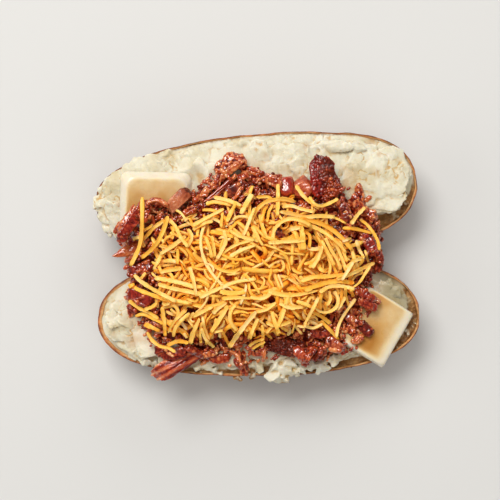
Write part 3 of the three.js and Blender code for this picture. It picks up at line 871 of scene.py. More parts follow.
def flesh(h, key):
    N = 240
    t = 2 * math.pi * np.arange(N) / N
    ou, ov = outline(h, t)
    su, sv = spine(h, t)
    d = np.hypot(ou - su, ov - sv)
    x0, y0 = placed(h, ou, ov)
    rec = recess(h, key, t) * (1 + 0.35 * fbm(np.stack([x0, y0, 0 * x0], 1), 9, 3, 0.6, h["seed"] + 21))
    depth = np.clip(0.34 * (rec - 0.5), 0, 2.4)
    wall = 0.75

    def ring(mm, z, k=1.0):
        f = (1 - mm / d) * k
        u, v = su + (ou - su) * f, sv + (ov - sv) * f
        x, y = placed(h, u, v)
        return np.stack([x, y, z(u, v, f)], 1)

    low = lambda u, v, f: 0 * u + h["rim"] - 11
    husk = lambda u, v, f: rim_height(h, u, v) - 0.25 - depth
    rings = [ring(wall + 2.2, low, k) for k in (0.0, 0.3, 0.6, 0.85, 1.0)]
    rings += [ring(wall + 1.2, lambda u, v, f: rim_height(h, u, v) - 6), ring(wall, husk), ring(wall + np.maximum(rec - 0.5, 0.3), husk)]
    edge = wall + np.maximum(rec + 0.5, 1.2)
    for k in (1.0, 0.975, 0.93, 0.86, 0.76, 0.64, 0.5, 0.35, 0.18, 0.0):
        rings.append(ring(edge, lambda u, v, f: flesh_surface(h, u, v, f) - (0.2 + 0.1 * rec) * math.exp(-(1 - k) * 12), k))
    V, Q = ring_grid(np.array(rings))
    pile = Pile()
    pile.put(V, quads=Q)
    r = np.random.default_rng(int(h["seed"] * 10))

    def chunk(x, y, z, sx, sy, sz, turn, lean=16, lib=None):
        lib = lib or (BROAD if sx > 3.5 else HULLS)
        v, f = lib[r.integers(len(lib))]
        R = rot(r.normal(0, lean), r.normal(0, lean), turn)
        spin = rot(*(r.random(3) * 360))
        pile.put(((v @ spin.T) * [sx, sy, sz]) @ R.T + [x, y, z], tris=f)

    # Broad thin flakes all over, then smaller ones, most of them towards the edge.
    for count, lo, hi, thick, sink, lean, rim in ((100, 6.5, 15.0, 0.12, 0.3, 4, 0.1), (34, 2.8, 5.5, 0.24, 0.4, 7, 0.4), (30, 0.9, 2.0, 0.6, 0.3, 18, 0.8)):
        for _ in range(count):
            a, q = r.random() * 2 * math.pi, math.sqrt(r.random())
            if r.random() < rim:
                q = 1 - 0.2 * r.random()
            A, B = outline(h, np.array([a]))
            S, _ = spine(h, np.array([a]))
            size = lo + (hi - lo) * r.random() ** 1.6
            f = q * (1 - (1.4 + recess(h, key, np.array([a]))[0] + size * 0.75) / math.hypot(A[0] - S[0], B[0]))
            u, v = S[0] + (A[0] - S[0]) * f, B[0] * f
            x, y = placed(h, u, v)
            z = flesh_surface(h, np.array([u]), np.array([v]), np.array([f]))[0] - thick * size * sink
            chunk(x, y, z, size, size * (0.55 + 0.45 * r.random()), size * thick * (0.8 + 0.4 * r.random()), r.random() * 180, lean)
    if key == "back":
        # Flesh packed under the raised corner of the pat and up against its sides.
        c = PAT_LEFT
        M = rot(c["leanX"], c["leanY"], 0) @ rot(0, 0, c["turn"])
        L, W, foot = c["length"] / 2, c["width"] / 2, -c["thick"] / 2
        sides = [(-L - 0.6, s, 0) for s in np.linspace(-W * 0.75, W, 9)] + [(s, W + 0.6, 0) for s in np.linspace(-L, L, 10)] + [(-L - 4, s, 2.2) for s in np.linspace(-W * 0.6, W * 0.8, 6)] + [(s, W + 3.5, 1.6) for s in np.linspace(-L, L * 0.9, 7)]
        sides += [(s, q, 1.2) for s in (-L * 0.7, -L * 0.2, L * 0.4) for q in (W * 0.6, -W * 0.1)]
        for u, v, down in sides:
            k = 4.0 + 2.2 * r.random()
            x, y, z = M @ [u + r.normal(0, 0.6), v + r.normal(0, 0.6), foot - k * 0.5 - down + 0.7 * r.random()] + [c["x"], c["y"], c["z"]]
            k = min(k, 0.72 * float(np.hypot(x0 - x, y0 - y).min()))
            if k < 2.2:
                continue
            chunk(x, y, z - 0.3, k * 1.9, k * 1.6, k * 0.36, r.random() * 180, 4, BROAD)
            chunk(x, y, z - 2.5, k * 1.5, k * 1.4, k * 0.8, r.random() * 180, 8, BROAD)
    for px_, py_, rx, ry, rz, turn, z, n in RIM_CLUMPS[key]:
        cx, cy = at_px(px_, py_, z)
        R = rot(0, 0, turn)
        if key == "front":
            rx, ry = 1.04 * rx + 0.3, 1.04 * ry + 0.3
            for k in (-1, 0, 1):
                o, q = R @ [0.38 * rx * k, 0.2 * ry * r.normal(), 0], 0.68 + 0.2 * r.random()
                chunk(cx + o[0], cy + o[1], z + 0.6 - 0.3 * rz, max(rx * q, 1.4), max(ry * (q + 0.1), 1.4), rz, turn + r.normal(0, 25), 12, SHARP if k else HULLS)
        else:
            chunk(cx, cy, z - 0.35 * rz, rx * 0.95, ry * 0.95, rz * 0.9, turn, 6, BROAD)
        for _ in range(n // 6):
            o = R @ (np.clip(r.normal(0, 0.45, 3), -0.8, 0.8) * [rx, ry, rz * 0.35])
            s = 0.36 + 0.26 * r.random()
            chunk(cx + o[0], cy + o[1], z + o[2] * 0.7, rx * s + 0.7, ry * s + 0.7, rz * s + 0.4, turn + r.normal(0, 40), 14, SHARP)
    # Crumbs of flesh that stay on the layer under the skin.
    for _ in range(1100):
        i = r.integers(N)
        if rec[i] < 2.2:
            continue
        f = 1 - (wall + 0.5 + (rec[i] + 0.4) * r.random()) / d[i]
        u, v = su[i] + (ou[i] - su[i]) * f, sv[i] + (ov[i] - sv[i]) * f
        x, y = placed(h, u, v)
        k = 0.5 + 1.0 * r.random() ** 2
        chunk(x, y, float(rim_height(h, u, v)) - 0.25 - depth[i] + 0.25 * k, k * 1.8, k, k * 0.8, r.random() * 180, 20, SHARP)
    V, T, Q = pile.arrays()
    me = remeshed(V, T, Q, 0.5, 118000, 1)
    E = edges_of(me)
    V = co(me)
    n = normals(me)
    seed = h["seed"]
    # Creases between waxy lobes, soft swells, and a fine grain.
    lobes = np.abs(fbm(V, (11, 11, 30), 3, 0.45, seed + 6))
    crease = smooth(0.045, 0.0, lobes) * smooth(0.05, 0.3, fbm(V, 16, 2, 0.5, seed + 7) + 0.02)
    swell = 0.55 * fbm(V, 10, 2, 0.5, seed) + 0.10 * (np.abs(fbm(V, 3.6, 2, 0.5, seed + 2)) - 0.3) + 0.09 * fbm(V, 1.3, 2, 0.5, seed + 4)
    up = smooth(-0.2, 0.5, n[:, 2])
    broad, broad_edge = facets(V, (7.5, 7.5, 6.0), seed)
    small, small_edge = facets(V, 2.8, seed + 1)
    waxen = smooth(-0.15, 0.35, fbm(V, 22, 2, 0.5, seed + 15))
    torn = 0.30 * broad * (1 - 0.6 * waxen) + 0.09 * small * (1 - 0.6 * waxen) - 0.14 * smooth(0.16, 0.0, broad_edge) * (1 - waxen)
    V = V + n * (0.8 * swell * (0.3 + 0.7 * up) + torn * (0.35 + 0.65 * up) - 0.45 * crease * up)[:, None]
    V = held(seated(seated(V, PAT_LEFT), PAT_RIGHT))
    set_co(me, V)
    n = normals(me)
    # Painted shade and painted light: how far each point lies below or above its smoothed surface, with the creases, is
    # kept for the colour, darker in hollows and paler on swells.
    wide = relax(V, E, 14, 0.6)
    cav = np.einsum("ij,ij->i", V - wide, n)
    attr(me, "cav", np.clip(0.5 + cav / 1.1 - 0.4 * crease, 0, 1))
    # The layer under the skin, where the flesh has come away or ends in a thin brown edge.
    ring0 = np.stack([x0, y0], 1)
    best = np.full(len(V), 1e9)
    for k in range(N):
        best = np.minimum(best, (V[:, 0] - ring0[k, 0]) ** 2 + (V[:, 1] - ring0[k, 1]) ** 2)
    best = np.sqrt(best)
    ang = np.arctan2(y0 - h["y"], x0 - h["x"])
    va = np.arctan2(V[:, 1] - h["y"], V[:, 0] - h["x"])
    o = np.argsort(ang)
    here, deep = np.interp(va, ang[o], rec[o], period=2 * math.pi), np.interp(va, ang[o], depth[o], period=2 * math.pi)
    tt = np.arctan2((V[:, 1] - h["y"]) / h["out"], (V[:, 0] - h["x"]) / h["a"])
    rimz = np.interp(va, ang[o], rim_height(h, ou, ov)[o], period=2 * math.pi)
    bare = smooth(here + 1.9, here + 0.9, best) * smooth(rimz - deep + 1.5, rimz - deep + 0.7, V[:, 2]) * smooth(0.9, 1.7, here)
    band = smooth(2.2, 0.7, best + 0.9 * fbm(V, 5, 2, 0.5, seed + 61)) * 0.7 * smooth(rimz + 1.3, rimz + 0.4, V[:, 2])
    attr(me, "husk", np.clip(np.maximum(bare, band), 0, 1))
    # Stains: oil and sauce that soak into the flesh near the meat, and waxy spots.
    x, y = V[:, 0], V[:, 1]
    near = smooth(1.10, 1.0, rho(BEEF, x, y) - 0.03 * fbm(V, 6, 2, 0.5, 31))
    spots = np.zeros(len(V))
    for sx, sy, sr, k in STAINS:
        a, b = at_px(sx, sy, 36)
        q = np.hypot(x - a, y - b) / (sr * MM_PX)
        spots = np.maximum(spots, 0.62 * k * smooth(1.25, 0.2, q + 0.8 * fbm(V, 5, 3, 0.6, 41)))
    attr(me, "stain", np.clip(np.maximum(0.2 * near, spots), 0, 1))
    waxy = smooth(0.05, 0.45, fbm(V, 14, 3, 0.5, seed + 51)) * 0.6
    if key == "front":
        attr(me, "grey", 0.75 * smooth(64, 73, x + 3 * fbm(V, 7, 2, 0.5, 52)) * smooth(-36, -26, y))
    attr(me, "wet", np.clip(waxy, 0, 1))
    return me


STAINS = [(346, 186, 9, 1.0), (343, 200, 6, 0.9), (297, 178, 5, 0.7), (240, 156, 5, 0.7), (266, 156, 4, 0.55), (306, 145, 5, 0.6), (372, 141, 6, 0.5), (362, 205, 8, 0.5), (132, 341, 9, 0.75), (140, 338, 6, 0.6),
          (119, 203, 4, 0.6), (190, 176, 4, 0.4), (268, 360, 6, 0.45), (344, 168, 4, 0.4), (376, 172, 5, 0.35), (350, 176, 8, 0.4), (375, 288, 9, 0.5), (332, 355, 6, 0.35), (113, 335, 4, 0.5), (379, 154, 3, 0.6)]


# ------------------------------------------------------------------ butter
def butter(name, c, inset, corner, droop, tan):
    """A moulded pat: a rounded slab whose sides slope in to its face. tan gives the face's colour: the tan of melted
    butter together with painted shade that darkens it towards one side.
    """
    N, L, W, T = 144, c["length"] / 2, c["width"] / 2, c["thick"]
    t = 2 * math.pi * (np.arange(N) + 0.5) / N

    def rect(l, w, r):
        # Rounded rectangle by angle: straight sides and quarter circles, evenly spaced points.
        per = [2 * (w - r), math.pi / 2 * r, 2 * (l - r), math.pi / 2 * r] * 2
        s = (np.arange(N) / N) * sum(per)
        pts = np.zeros((N, 2))
        corners = [(l, -(w - r), 0, 1), (l - r, w - r, r, 0), (l - r, w, -1, 0), (-(l - r), w - r, r, 90), (-l, w - r, 0, -1), (-(l - r), -(w - r), r, 180), (-(l - r), -w, 1, 0), (l - r, -(w - r), r, 270)]
        at = 0.0
        for k, p in enumerate(per):
            m = (s >= at) & (s < at + p + 1e-9)
            q = s[m] - at
            a, b, e, g = corners[k]
            if k % 2 == 0:
                pts[m] = np.stack([a + e * q, b + g * q], 1)
            else:
                w0 = math.radians(g) + q / max(r, 1e-6)
                pts[m] = np.stack([a + r * np.cos(w0), b + r * np.sin(w0)], 1)
            at += p
        return pts

    rows, face = [], []

    def row(ins, z, r, fc, k=1.0):
        p = rect(L - ins, W - ins, max(r, 0.6)) * k
        rows.append(np.column_stack([p, np.full(N, z)]))
        face.append(np.full(N, fc))

    for k in (0.02, 0.5, 0.9):
        row(0.6, -T / 2, corner, 0, k)
    row(0.5, -T / 2, corner, 0)
    row(0.08, -T / 2 + 0.35, corner, 0)
    for q in np.linspace(0, 1, 8):
        row(0.1 + (inset - 1.0) * q**1.2, -T / 2 + 0.8 + (T - 1.6) * q, corner + 1.3 * q, 0)
    row(inset - 0.55, T / 2 - 0.32, corner + 1.6, 0.12)
    row(inset, T / 2 - 0.06, corner + 1.8, 0.4)
    row(inset + 0.6, T / 2, corner + 2.0, 0.75)
    for k in (0.93, 0.84, 0.72, 0.58, 0.42, 0.26, 0.1, 0.02):
        row(inset + 0.8, T / 2 - 0.05, corner + 2.0, 1.0, k)
    V, Q = ring_grid(np.array(rows))
    i = np.arange(N)
    last = len(V) - N
    caps = np.concatenate([np.stack([(i + 1) % N, i, 0 * i + len(V)], 1), np.stack([i + last, (i + 1) % N + last, 0 * i + len(V) + 1], 1)])
    V = np.concatenate([V, [[0, 0, -T / 2], [0, 0, T / 2 - 0.05]]])
    F = np.concatenate(face + [[0, 1.0]])
    u, v = V[:, 0] / L, V[:, 1] / W
    V = V.copy()
    V[:, :2] *= 1 + 0.012 * fbm(V, 9, 2, 0.5, c["x"])[:, None]
    V[:, 2] += droop(u, v)
    V[:, 2] += 0.12 * fbm(V, 8, 2, 0.5, c["x"] + 2) * smooth(-0.2, 0.6, V[:, 2] / T)
    F = np.clip(tan(u, v, F), 0, 1)
    R = rot(c["leanX"], c["leanY"], 0) @ rot(0, 0, c["turn"])
    me = mesh_from(name, V @ R.T + [c["x"], c["y"], c["z"]], Q, caps)
    attr(me, "face", F)
    return me


# ------------------------------------------------------------------ beef
def notch_floor(x, y):
    return 27.5 + (HEAP_SINK - 27.5) * smooth(44, 60, np.abs(x)) * np.exp(-((y / 16) ** 2))


def beef_core(pile):
    N, t = 200, 2 * math.pi * np.arange(200) / 200
    R = plan_radius(BEEF, t)
    R = R - 2.6 + 1.6 * fbm(np.stack([R * np.cos(t), R * np.sin(t), 0 * t], 1), 12, 2, 0.5, 61)

    def ring(f, z):
        x, y = BEEF["x"] + R * f * np.cos(t), BEEF["y"] + R * f * np.sin(t)
        return np.stack([x, y, z(x, y)], 1)

    low = lambda x, y: np.where(notch_floor(x, y) < 24, notch_floor(x, y) + 1.5, bed_height(x, y) - 3.2)
    top = lambda x, y: beef_top(x, y) - 3.0 + 2.6 * smooth(1.0, 0.3, rho(CHEESE, x, y))
    rings = [ring(f, low) for f in (0.0, 0.3, 0.6, 0.85, 0.96)] + [ring(1.0, lambda x, y: np.maximum(low(x, y), top(x, y) - 2.2))]
    rings += [ring(f, top) for f in (0.985, 0.95, 0.9, 0.82, 0.72, 0.6, 0.48, 0.36, 0.24, 0.12, 0.0)]
    V, Q = ring_grid(np.array(rings))
    pile.put(V, quads=Q)


def flow(x, y):
    """Direction that the meat's fibres run in, about."""
    return np.where(y > 8, np.where(x < 5, 0.72, -0.35), np.where(x < -20, 0.2, 0.75)) + 0.8 * uneven(x, y, 34, 4.2)


def relief(x, y):
    p = np.stack([np.asarray(x, float), np.asarray(y, float), np.zeros(np.shape(x))], -1).reshape(-1, 3)
    return (1.25 * fbm(p, 9, 2, 0.5, 77) - 0.3).reshape(np.shape(x))


HOLLOWS = [(184, 204, 5.5), (154, 218, 6.0), (246, 201, 5.0), (206, 213, 4.0), (152, 262, 5.0), (349, 197, 4.5), (352, 240, 5.0), (165, 350, 6.0), (262, 341, 4.0), (286, 341, 5.0), (346, 316, 4.0), (330, 332, 4.0), (228, 352, 3.5), (312, 207, 4.5)]


def hollow(x, y):
    """Gaps in the heap, 1 in the middle of one; the meat's tone is painted darker in them as shade."""
    k = 0.0 * np.asarray(x, float)
    for px_, py_, r in HOLLOWS:
        a, b = at_px(px_, py_, 41)
        k = np.maximum(k, smooth(1.15, 0.5, np.hypot(x - a, y - b) / (r * 0.54)))
    return k


def on_chunk(x, y, k=0.9):
    for c in CHUNKS.values():
        a = math.radians(c["turn"])
        u, v = (x - c["x"]) * math.cos(a) + (y - c["y"]) * math.sin(a), (y - c["y"]) * math.cos(a) - (x - c["x"]) * math.sin(a)
        if abs(u / (c["rx"] * k)) ** 3 + abs(v / (c["ry"] * k)) ** 3 < 1:
            return True
    return False


def beef_base():
    """The mass of chopped and pulled meat in its sauce, as one skin: knots, beads of chopped fibre on them, and logs."""
    pile, r = Pile(), np.random.default_rng(70)
    beef_core(pile)
    B = Heights()
    X, Y = np.meshgrid(B.x0 + B.s * np.arange(B.nx), B.y0 + B.s * np.arange(B.ny), indexing="ij")
    q = rho(BEEF, X, Y)
    B.H = np.where(q < 0.99, beef_top(X, Y) - 3.0 - 2.0 * smooth(0.9, 0.99, q), np.where(notch_floor(X, Y) < 24, notch_floor(X, Y), bed_height(X, Y) - 0.4)) - 2.0 * hollow(X, Y)
    knots, beads = ball_library(16, 3, 0.55, 5), ball_library(24, 2, 0.30, 55)

    def lump(lib, x, y, z, sx, sy, sz, turn, lean=12):
        v, f = lib[r.integers(len(lib))]
        M = rot(r.normal(0, lean), r.normal(0, lean), turn)
        pile.put(((v @ rot(*(r.random(3) * 360)).T) * [sx, sy, sz]) @ M.T + [x, y, z], tris=f)
        B.dome(x, y, z, sx, sy, sz * 0.95, turn)

    for x, y, z, rx, ry, rz, turn in BEEF_LUMPS:
        cx, cy = at_px(x, y, z)
        lump(knots, cx, cy, z - 1.6, rx * 0.86, ry * 0.86, rz, turn, 5)
        for _ in range(4):
            o = rot(0, 0, turn) @ (np.clip(r.normal(0, 0.5, 3), -0.8, 0.8) * [rx, ry, 0])
            k = 0.36 + 0.24 * r.random()
            lump(knots, cx + o[0], cy + o[1], z - 1.0, rx * k, ry * k, rz * k, turn)
    for _ in range(380):
        a, q = r.random() * 2 * math.pi, 0.46 + 0.52 * r.random() ** 0.7
        R = float(plan_radius(BEEF, a)) * q
        x, y = BEEF["x"] + R * math.cos(a), BEEF["y"] + R * math.sin(a)
        k = 1.5 + 2.0 * r.random() ** 1.5
        if float(hollow(x, y)) > 0.3 or rho(BEEF, x + 0.8 * k * math.cos(a), y + 0.8 * k * math.sin(a)) > 1.04 or on_chunk(x, y, 1.0):
            continue
        z = float(beef_top(x, y)) - 2.9 + float(relief(x, y)) + r.normal(0, 0.55) - 1.5 * float(smooth(0.93, 1.03, rho(BEEF, x, y)))
        lump(knots, x, y, z, k * 1.15, k * 0.9, k * 0.7, math.degrees(float(flow(x, y))) + r.normal(0, 30))
    # Logs of fibre that show singly: a few ropes side by side.
    K = 14
    for pts, half, tn in STRANDS:
        if half < 1.45:
            continue
        mid, L = spline(np.array([at_px(a, b, 42) for a, b in pts]), K)
        d = np.gradient(mid, axis=0)
        side = np.stack([-d[:, 1], d[:, 0]], 1) / np.linalg.norm(d, axis=1)[:, None]
        base = lay(B, mid, half * 0.7, half * 0.6, 24, 0.05, 0.5)
        m = 3 if half < 2.2 else 6
        e = np.abs(np.linspace(-1, 1, K))
        for j in range(m):
            off = (j - (m - 1) / 2) / m * 2
            w = half / m * 1.5 * (0.85 + 0.3 * r.random())
            lo, hi = 0.16 * r.random(), 1 - 0.16 * r.random()
            path = np.array([np.interp(np.linspace(lo, hi, K), np.linspace(0, 1, K), (mid + side * half * off * 0.85)[:, q]) for q in (0, 1)]).T
            z = base + 0.5 * half * (1 - off * off) + 0.2 * r.normal()
            prof = np.clip(1.15 - 0.7 * e**6, 0.3, 1) * (1 + 0.16 * r.normal(size=K))
            v, qd, f = tubes(np.column_stack([path, z])[None], (w * prof)[None], (w * prof)[None], 8)
            pile.put(v, tris=f, quads=qd)
            B.stamp(path[:, 0], path[:, 1], z + w * 0.7, w)
    # Beads: rows of chopped fibre, one on the other up to the heap's height.
    for _ in range(1700):
        a, q = r.random() * 2 * math.pi, 0.48 + 0.55 * r.random() ** 0.7
        R = float(plan_radius(BEEF, a)) * q
        x, y = BEEF["x"] + R * math.cos(a), BEEF["y"] + R * math.sin(a)
        g = float(flow(x, y)) + r.normal(0, 0.5)
        k, n = 0.7 + 0.7 * r.random() ** 1.6, int(r.integers(1, 5))
        for _ in range(n):
            e = float(rho(BEEF, x, y))
            if e > 1.035 or (float(hollow(x, y)) > 0.35 and r.random() < 0.8) or on_chunk(x, y, 0.92):
                break
            z = float(B.over(np.array(x), np.array(y), k * 0.4)) + 0.22 * k
            if z + k * 0.7 > float(beef_top(x, y)) + 1.0 + float(relief(x, y)) + 0.5 * r.normal():
                break
            w = k * (0.85 + 0.35 * r.random())
            lump(beads, x, y, z, w * 1.3, w * 0.95, w * 0.8, math.degrees(g))
            g += r.normal(0, 0.2)
            x, y = x + math.cos(g) * k * 1.5, y + math.sin(g) * k * 1.5
    # The walls at both ends, where the heap runs down between the halves.
    for _ in range(330):
        a = r.choice([0, math.pi]) + r.normal(0, 0.24)
        R = float(plan_radius(BEEF, a)) - 0.8 + r.normal(0, 0.6)
        x, y = BEEF["x"] + R * math.cos(a), BEEF["y"] + R * math.sin(a)
        lo, hi = float(notch_floor(x, y)) + 1.0, float(beef_top(x, y)) - 2.0
        w = 0.9 + 1.3 * r.random() ** 2
        v, f = beads[r.integers(len(beads))]
        pile.put(((v @ rot(*(r.random(3) * 360)).T) * [w, w * 1.5, w * 0.8]) @ rot(r.normal(0, 30), 0, math.degrees(a)).T + [x, y, lo + (hi - lo) * r.random()], tris=f)
    V, T, Q = pile.arrays()
    me = remeshed(V, T, Q, 0.42, 186000)
    V = co(me)
    n = normals(me)
    chop = np.abs(fibres_of(V, (5.0, 1.7, 1.7), 71))
    warp = V + 0.55 * np.stack([fbm(V, 2.4, 1, 0.5, 310 + k) for k in range(3)], 1)
    tilt, edge, own = grains(warp, 2.15, 4)
    grit = smooth(0.0, 0.45, edge)
    even = smooth(-0.1, 0.35, fbm(V, 9, 2, 0.5, 78))
    V = held(V + n * ((0.62 - 0.34 * even) * grit + 0.16 * tilt + (0.45 + 0.25 * even) * chop - 0.5)[:, None])
    set_co(me, V)
    E = edges_of(me)
    n = normals(me)
    # Painted shade and painted light: the tone is darker in hollows, grain edges, deep places, the heap's gaps and
    # under the cheese, and lighter on ridges; fbm and own vary it at random.
    cav = np.einsum("ij,ij->i", V - relax(V, E, 8, 0.6), n)
    deep = np.einsum("ij,ij->i", V - relax(V, E, 50, 0.6), n)
    shade_under_cheese = smooth(1.0, 0.85, rho(CHEESE, V[:, 0], V[:, 1]))
    tone = 0.40 + 0.15 * fbm(V, 7, 2, 0.5, 73) + 0.8 * np.minimum(cav, 0) + 0.5 * np.maximum(cav, 0) + 0.13 * np.minimum(deep, 0.4) - 0.10 * shade_under_cheese - 0.25 * hollow(V[:, 0], V[:, 1]) + 0.15 * own + 0.2 * (grit - 0.7)
    attr(me, "tone", np.clip(tone, 0.03, 0.95))
    attr(me, "red", np.clip(0.7 * fbm(V, 11, 2, 0.5, 76) - 0.02, 0, 0.6))
    attr(me, "gloss", np.ones(len(V)))
    attr(me, "brown", 0.35 * smooth(0.05, 0.4, fbm(V, 8, 2, 0.5, 79)))
    attr(me, "oil", np.clip(0.35 * fbm(V, 10, 2, 0.5, 74), 0, 1))
    attr(me, "sco", V * 1.1, "FLOAT_VECTOR")
    return me


BEEF_LUMPS = [  # frame pixel, height, half sizes mm, turn: knots that stand out of the heap's outline
    (228, 165, 41.0, 9.5, 5.0, 4.0, 42), (240, 163, 41.5, 5.0, 4.0, 3.6, 0), (255, 176, 41.5, 9.0, 4.6, 3.8, -12), (272, 180, 41.5, 5.5, 4.0, 3.4, 0), (128, 224, 40.5, 9.0, 3.6, 3.6, 55), (150, 208, 41.5, 6.0, 4.0, 3.4, 10),
    (358, 205, 40.5, 6.5, 5.0, 4.0, -40), (371, 216, 39.0, 4.6, 4.2, 3.8, -30), (359, 190, 40.0, 2.6, 4.6, 3.2, 8), (372, 245, 33.0, 4.0, 8.0, 5.0, -6), (374, 262, 31.5, 3.4, 7.0, 5.0, -24), (136, 255, 32.0, 6.0, 5.0, 4.2, 20),
    (140, 268, 32.0, 7.0, 4.5, 4.5, 10), (135, 299, 37.0, 7.0, 4.0, 3.4, -20), (132, 309, 36.0, 3.0, 4.0, 2.8, -30), (218, 357, 36.0, 5.0, 4.5, 3.8, 10), (241, 362, 34.8, 3.0, 7.5, 3.6, 8), (255, 350, 37.0, 5.0, 3.4, 3.4, 0),
    (263, 355, 35.6, 1.2, 3.0, 2.0, 6), (316, 350, 37.5, 7.0, 6.0, 4.0, 30), (334, 345, 38.0, 4.8, 4.4, 3.6, 0), (343, 340, 38.0, 3.2, 3.6, 3.2, 0), (364, 297, 39.5, 7.0, 4.6, 4.0, -35), (372, 306, 38.0, 3.2, 3.4, 3.2, 0),
    (352, 330, 38.6, 4.4, 5.0, 3.6, -20), (356, 338, 37.5, 4.0, 3.0, 3.0, 0), (170, 354, 37.5, 7.0, 3.4, 3.4, -12), (190, 352, 38.0, 6.0, 3.6, 3.4, 0), (298, 350, 37.6, 4.0, 4.0, 3.4, 0), (345, 213, 43.0, 3.6, 6.5, 3.6, 8),
]


def tubes(C, W, T, S=6, roll=0.0, ridge=0.0, end=0.35, box=2.0):
    """Swept bodies of one section: C (n, K, 3) centres, W and T (n, K) half width and half thickness."""
    n, K = C.shape[:2]
    tan = np.gradient(C, axis=1)
    tan /= np.linalg.norm(tan, axis=2)[..., None] + 1e-9
    up = np.zeros_like(tan)
    up[..., 2] = 1
    side = np.cross(up, tan)
    bad = np.linalg.norm(side, axis=2) < 0.15
    side[bad] = np.array([1.0, 0.2, 0.0])
    side /= np.linalg.norm(side, axis=2)[..., None]
    up = np.cross(tan, side)
    roll = np.broadcast_to(np.asarray(roll, float), (n, K)) if np.ndim(roll) else np.full((n, K), float(roll))
    cr, sr = np.cos(roll)[..., None], np.sin(roll)[..., None]
    side, up = side * cr + up * sr, up * cr - side * sr
    ph = 2 * math.pi * (np.arange(S) + 0.5) / S
    e = 2.0 / box
    cx, sx = np.sign(np.cos(ph)) * np.abs(np.cos(ph)) ** e, np.sign(np.sin(ph)) * np.abs(np.sin(ph)) ** e
    if ridge:
        g = 1 + ridge * np.cos(np.arange(S) * math.pi)
        cx, sx = cx * g, sx * g
    V = C[:, :, None] + side[:, :, None] * (W[..., None] * cx)[..., None] + up[:, :, None] * (T[..., None] * sx)[..., None]
    j, i = np.meshgrid(np.arange(K - 1), np.arange(S), indexing="ij")
    a, b = j * S + i, j * S + (i + 1) % S
    q = np.stack([a, b, b + S, a + S], -1).reshape(-1, 4)
    fan = np.stack([np.zeros(S - 2, int), np.arange(2, S), np.arange(1, S - 1)], 1)
    caps = np.concatenate([fan, fan[:, ::-1] + (K - 1) * S])
    off = (np.arange(n) * K * S)[:, None, None]
    return V.reshape(-1, 3), (q[None] + off).reshape(-1, 4), (caps[None] + off).reshape(-1, 3)


def spline(P, K):
    """K points evenly along a smooth curve through the points P (m, 2)."""
    P = np.asarray(P, float)
    if len(P) == 2:
        P = np.array([P[0], P.mean(0), P[1]])
    Q = np.concatenate([[2 * P[0] - P[1]], P, [2 * P[-1] - P[-2]]])
    out = []
    for i in range(1, len(Q) - 2):
        t = np.linspace(0, 1, 12, endpoint=i == len(Q) - 3)[:, None]
        a, b, c, d = Q[i - 1], Q[i], Q[i + 1], Q[i + 2]
        out.append(0.5 * ((2 * b) + (c - a) * t + (2 * a - 5 * b + 4 * c - d) * t**2 + (-a + 3 * b - 3 * c + d) * t**3))
    C = np.concatenate(out)
    s = np.concatenate([[0], np.cumsum(np.linalg.norm(np.diff(C, axis=0), axis=1))])
    q = np.linspace(0, s[-1], K)
    return np.stack([np.interp(q, s, C[:, 0]), np.interp(q, s, C[:, 1])], 1), s[-1]


def lay(H, xy, half, thick, stiff=30, sag=0.05, sink=0.0):
    """Heights of a strand's middle line that lies on the map and spans its gaps."""
    floor = H.over(xy[:, 0], xy[:, 1], half * 0.8) + thick * (1 - sink)
    z = floor.copy()
    for _ in range(stiff):
        m = z.copy()
        m[1:-1] = 0.5 * (z[:-2] + z[2:]) - sag
        m[0] = z[1] + 0.55 * (z[1] - z[2]) - 3 * sag
        m[-1] = z[-2] + 0.55 * (z[-2] - z[-3]) - 3 * sag
        z = np.maximum(floor, m)
    return z


STRANDS = [  # frame pixels of the middle line, half width mm, tone: bundles of fibre that show singly
    ([(197, 200), (213, 186), (228, 172), (239, 163)], 1.9, 0.85), ([(201, 207), (218, 192), (236, 176)], 1.2, 0.5), ([(168, 223), (184, 216), (200, 208)], 1.3, 0.75), ([(142, 203), (132, 214), (124, 226), (118, 240)], 3.2, 0.6),
    ([(149, 207), (142, 220), (135, 233), (128, 244)], 2.2, 0.55), ([(147, 204), (157, 201), (168, 206)], 1.3, 0.65), ([(150, 214), (153, 222), (150, 230)], 1.1, 0.55), ([(243, 186), (236, 196), (228, 204)], 1.1, 0.7), ([(251, 187), (244, 196), (239, 203)], 1.0, 0.75),
    ([(245, 168), (255, 172), (266, 174)], 1.2, 0.6), ([(320, 156), (327, 155)], 1.6, 0.3), ([(340, 200), (345, 212), (346, 224)], 1.8, 0.3), ([(366, 236), (372, 246), (372, 258)], 1.9, 0.45), ([(375, 250), (378, 260), (374, 272)], 1.8, 0.2),
    ([(372, 268), (366, 278), (362, 284)], 1.5, 0.3), ([(124, 262), (136, 258), (148, 256)], 1.3, 0.55), ([(131, 268), (142, 270), (152, 266)], 1.8, 0.25), ([(129, 295), (140, 297), (151, 303)], 1.9, 0.6), ([(130, 300), (139, 304), (148, 309)], 1.3, 0.5),
    ([(128, 305), (133, 311), (138, 315)], 1.1, 0.4), ([(243, 347), (243, 360), (243, 378)], 1.8, 0.6), ([(238, 348), (239, 358), (240, 370)], 1.3, 0.5), ([(228, 350), (237, 356), (240, 364)], 1.3, 0.6), ([(264, 348), (264, 355), (263, 361)], 0.9, 0.75),
    ([(318, 345), (311, 352), (306, 361)], 1.3, 0.35), ([(322, 347), (317, 355), (312, 362)], 1.3, 0.4), ([(327, 340), (333, 346), (338, 351)], 1.8, 0.5), ([(355, 290), (364, 294), (372, 301)], 1.6, 0.3), ([(358, 300), (367, 303), (376, 308)], 1.6, 0.4),
    ([(350, 340), (356, 342), (361, 337)], 1.2, 0.7),
]


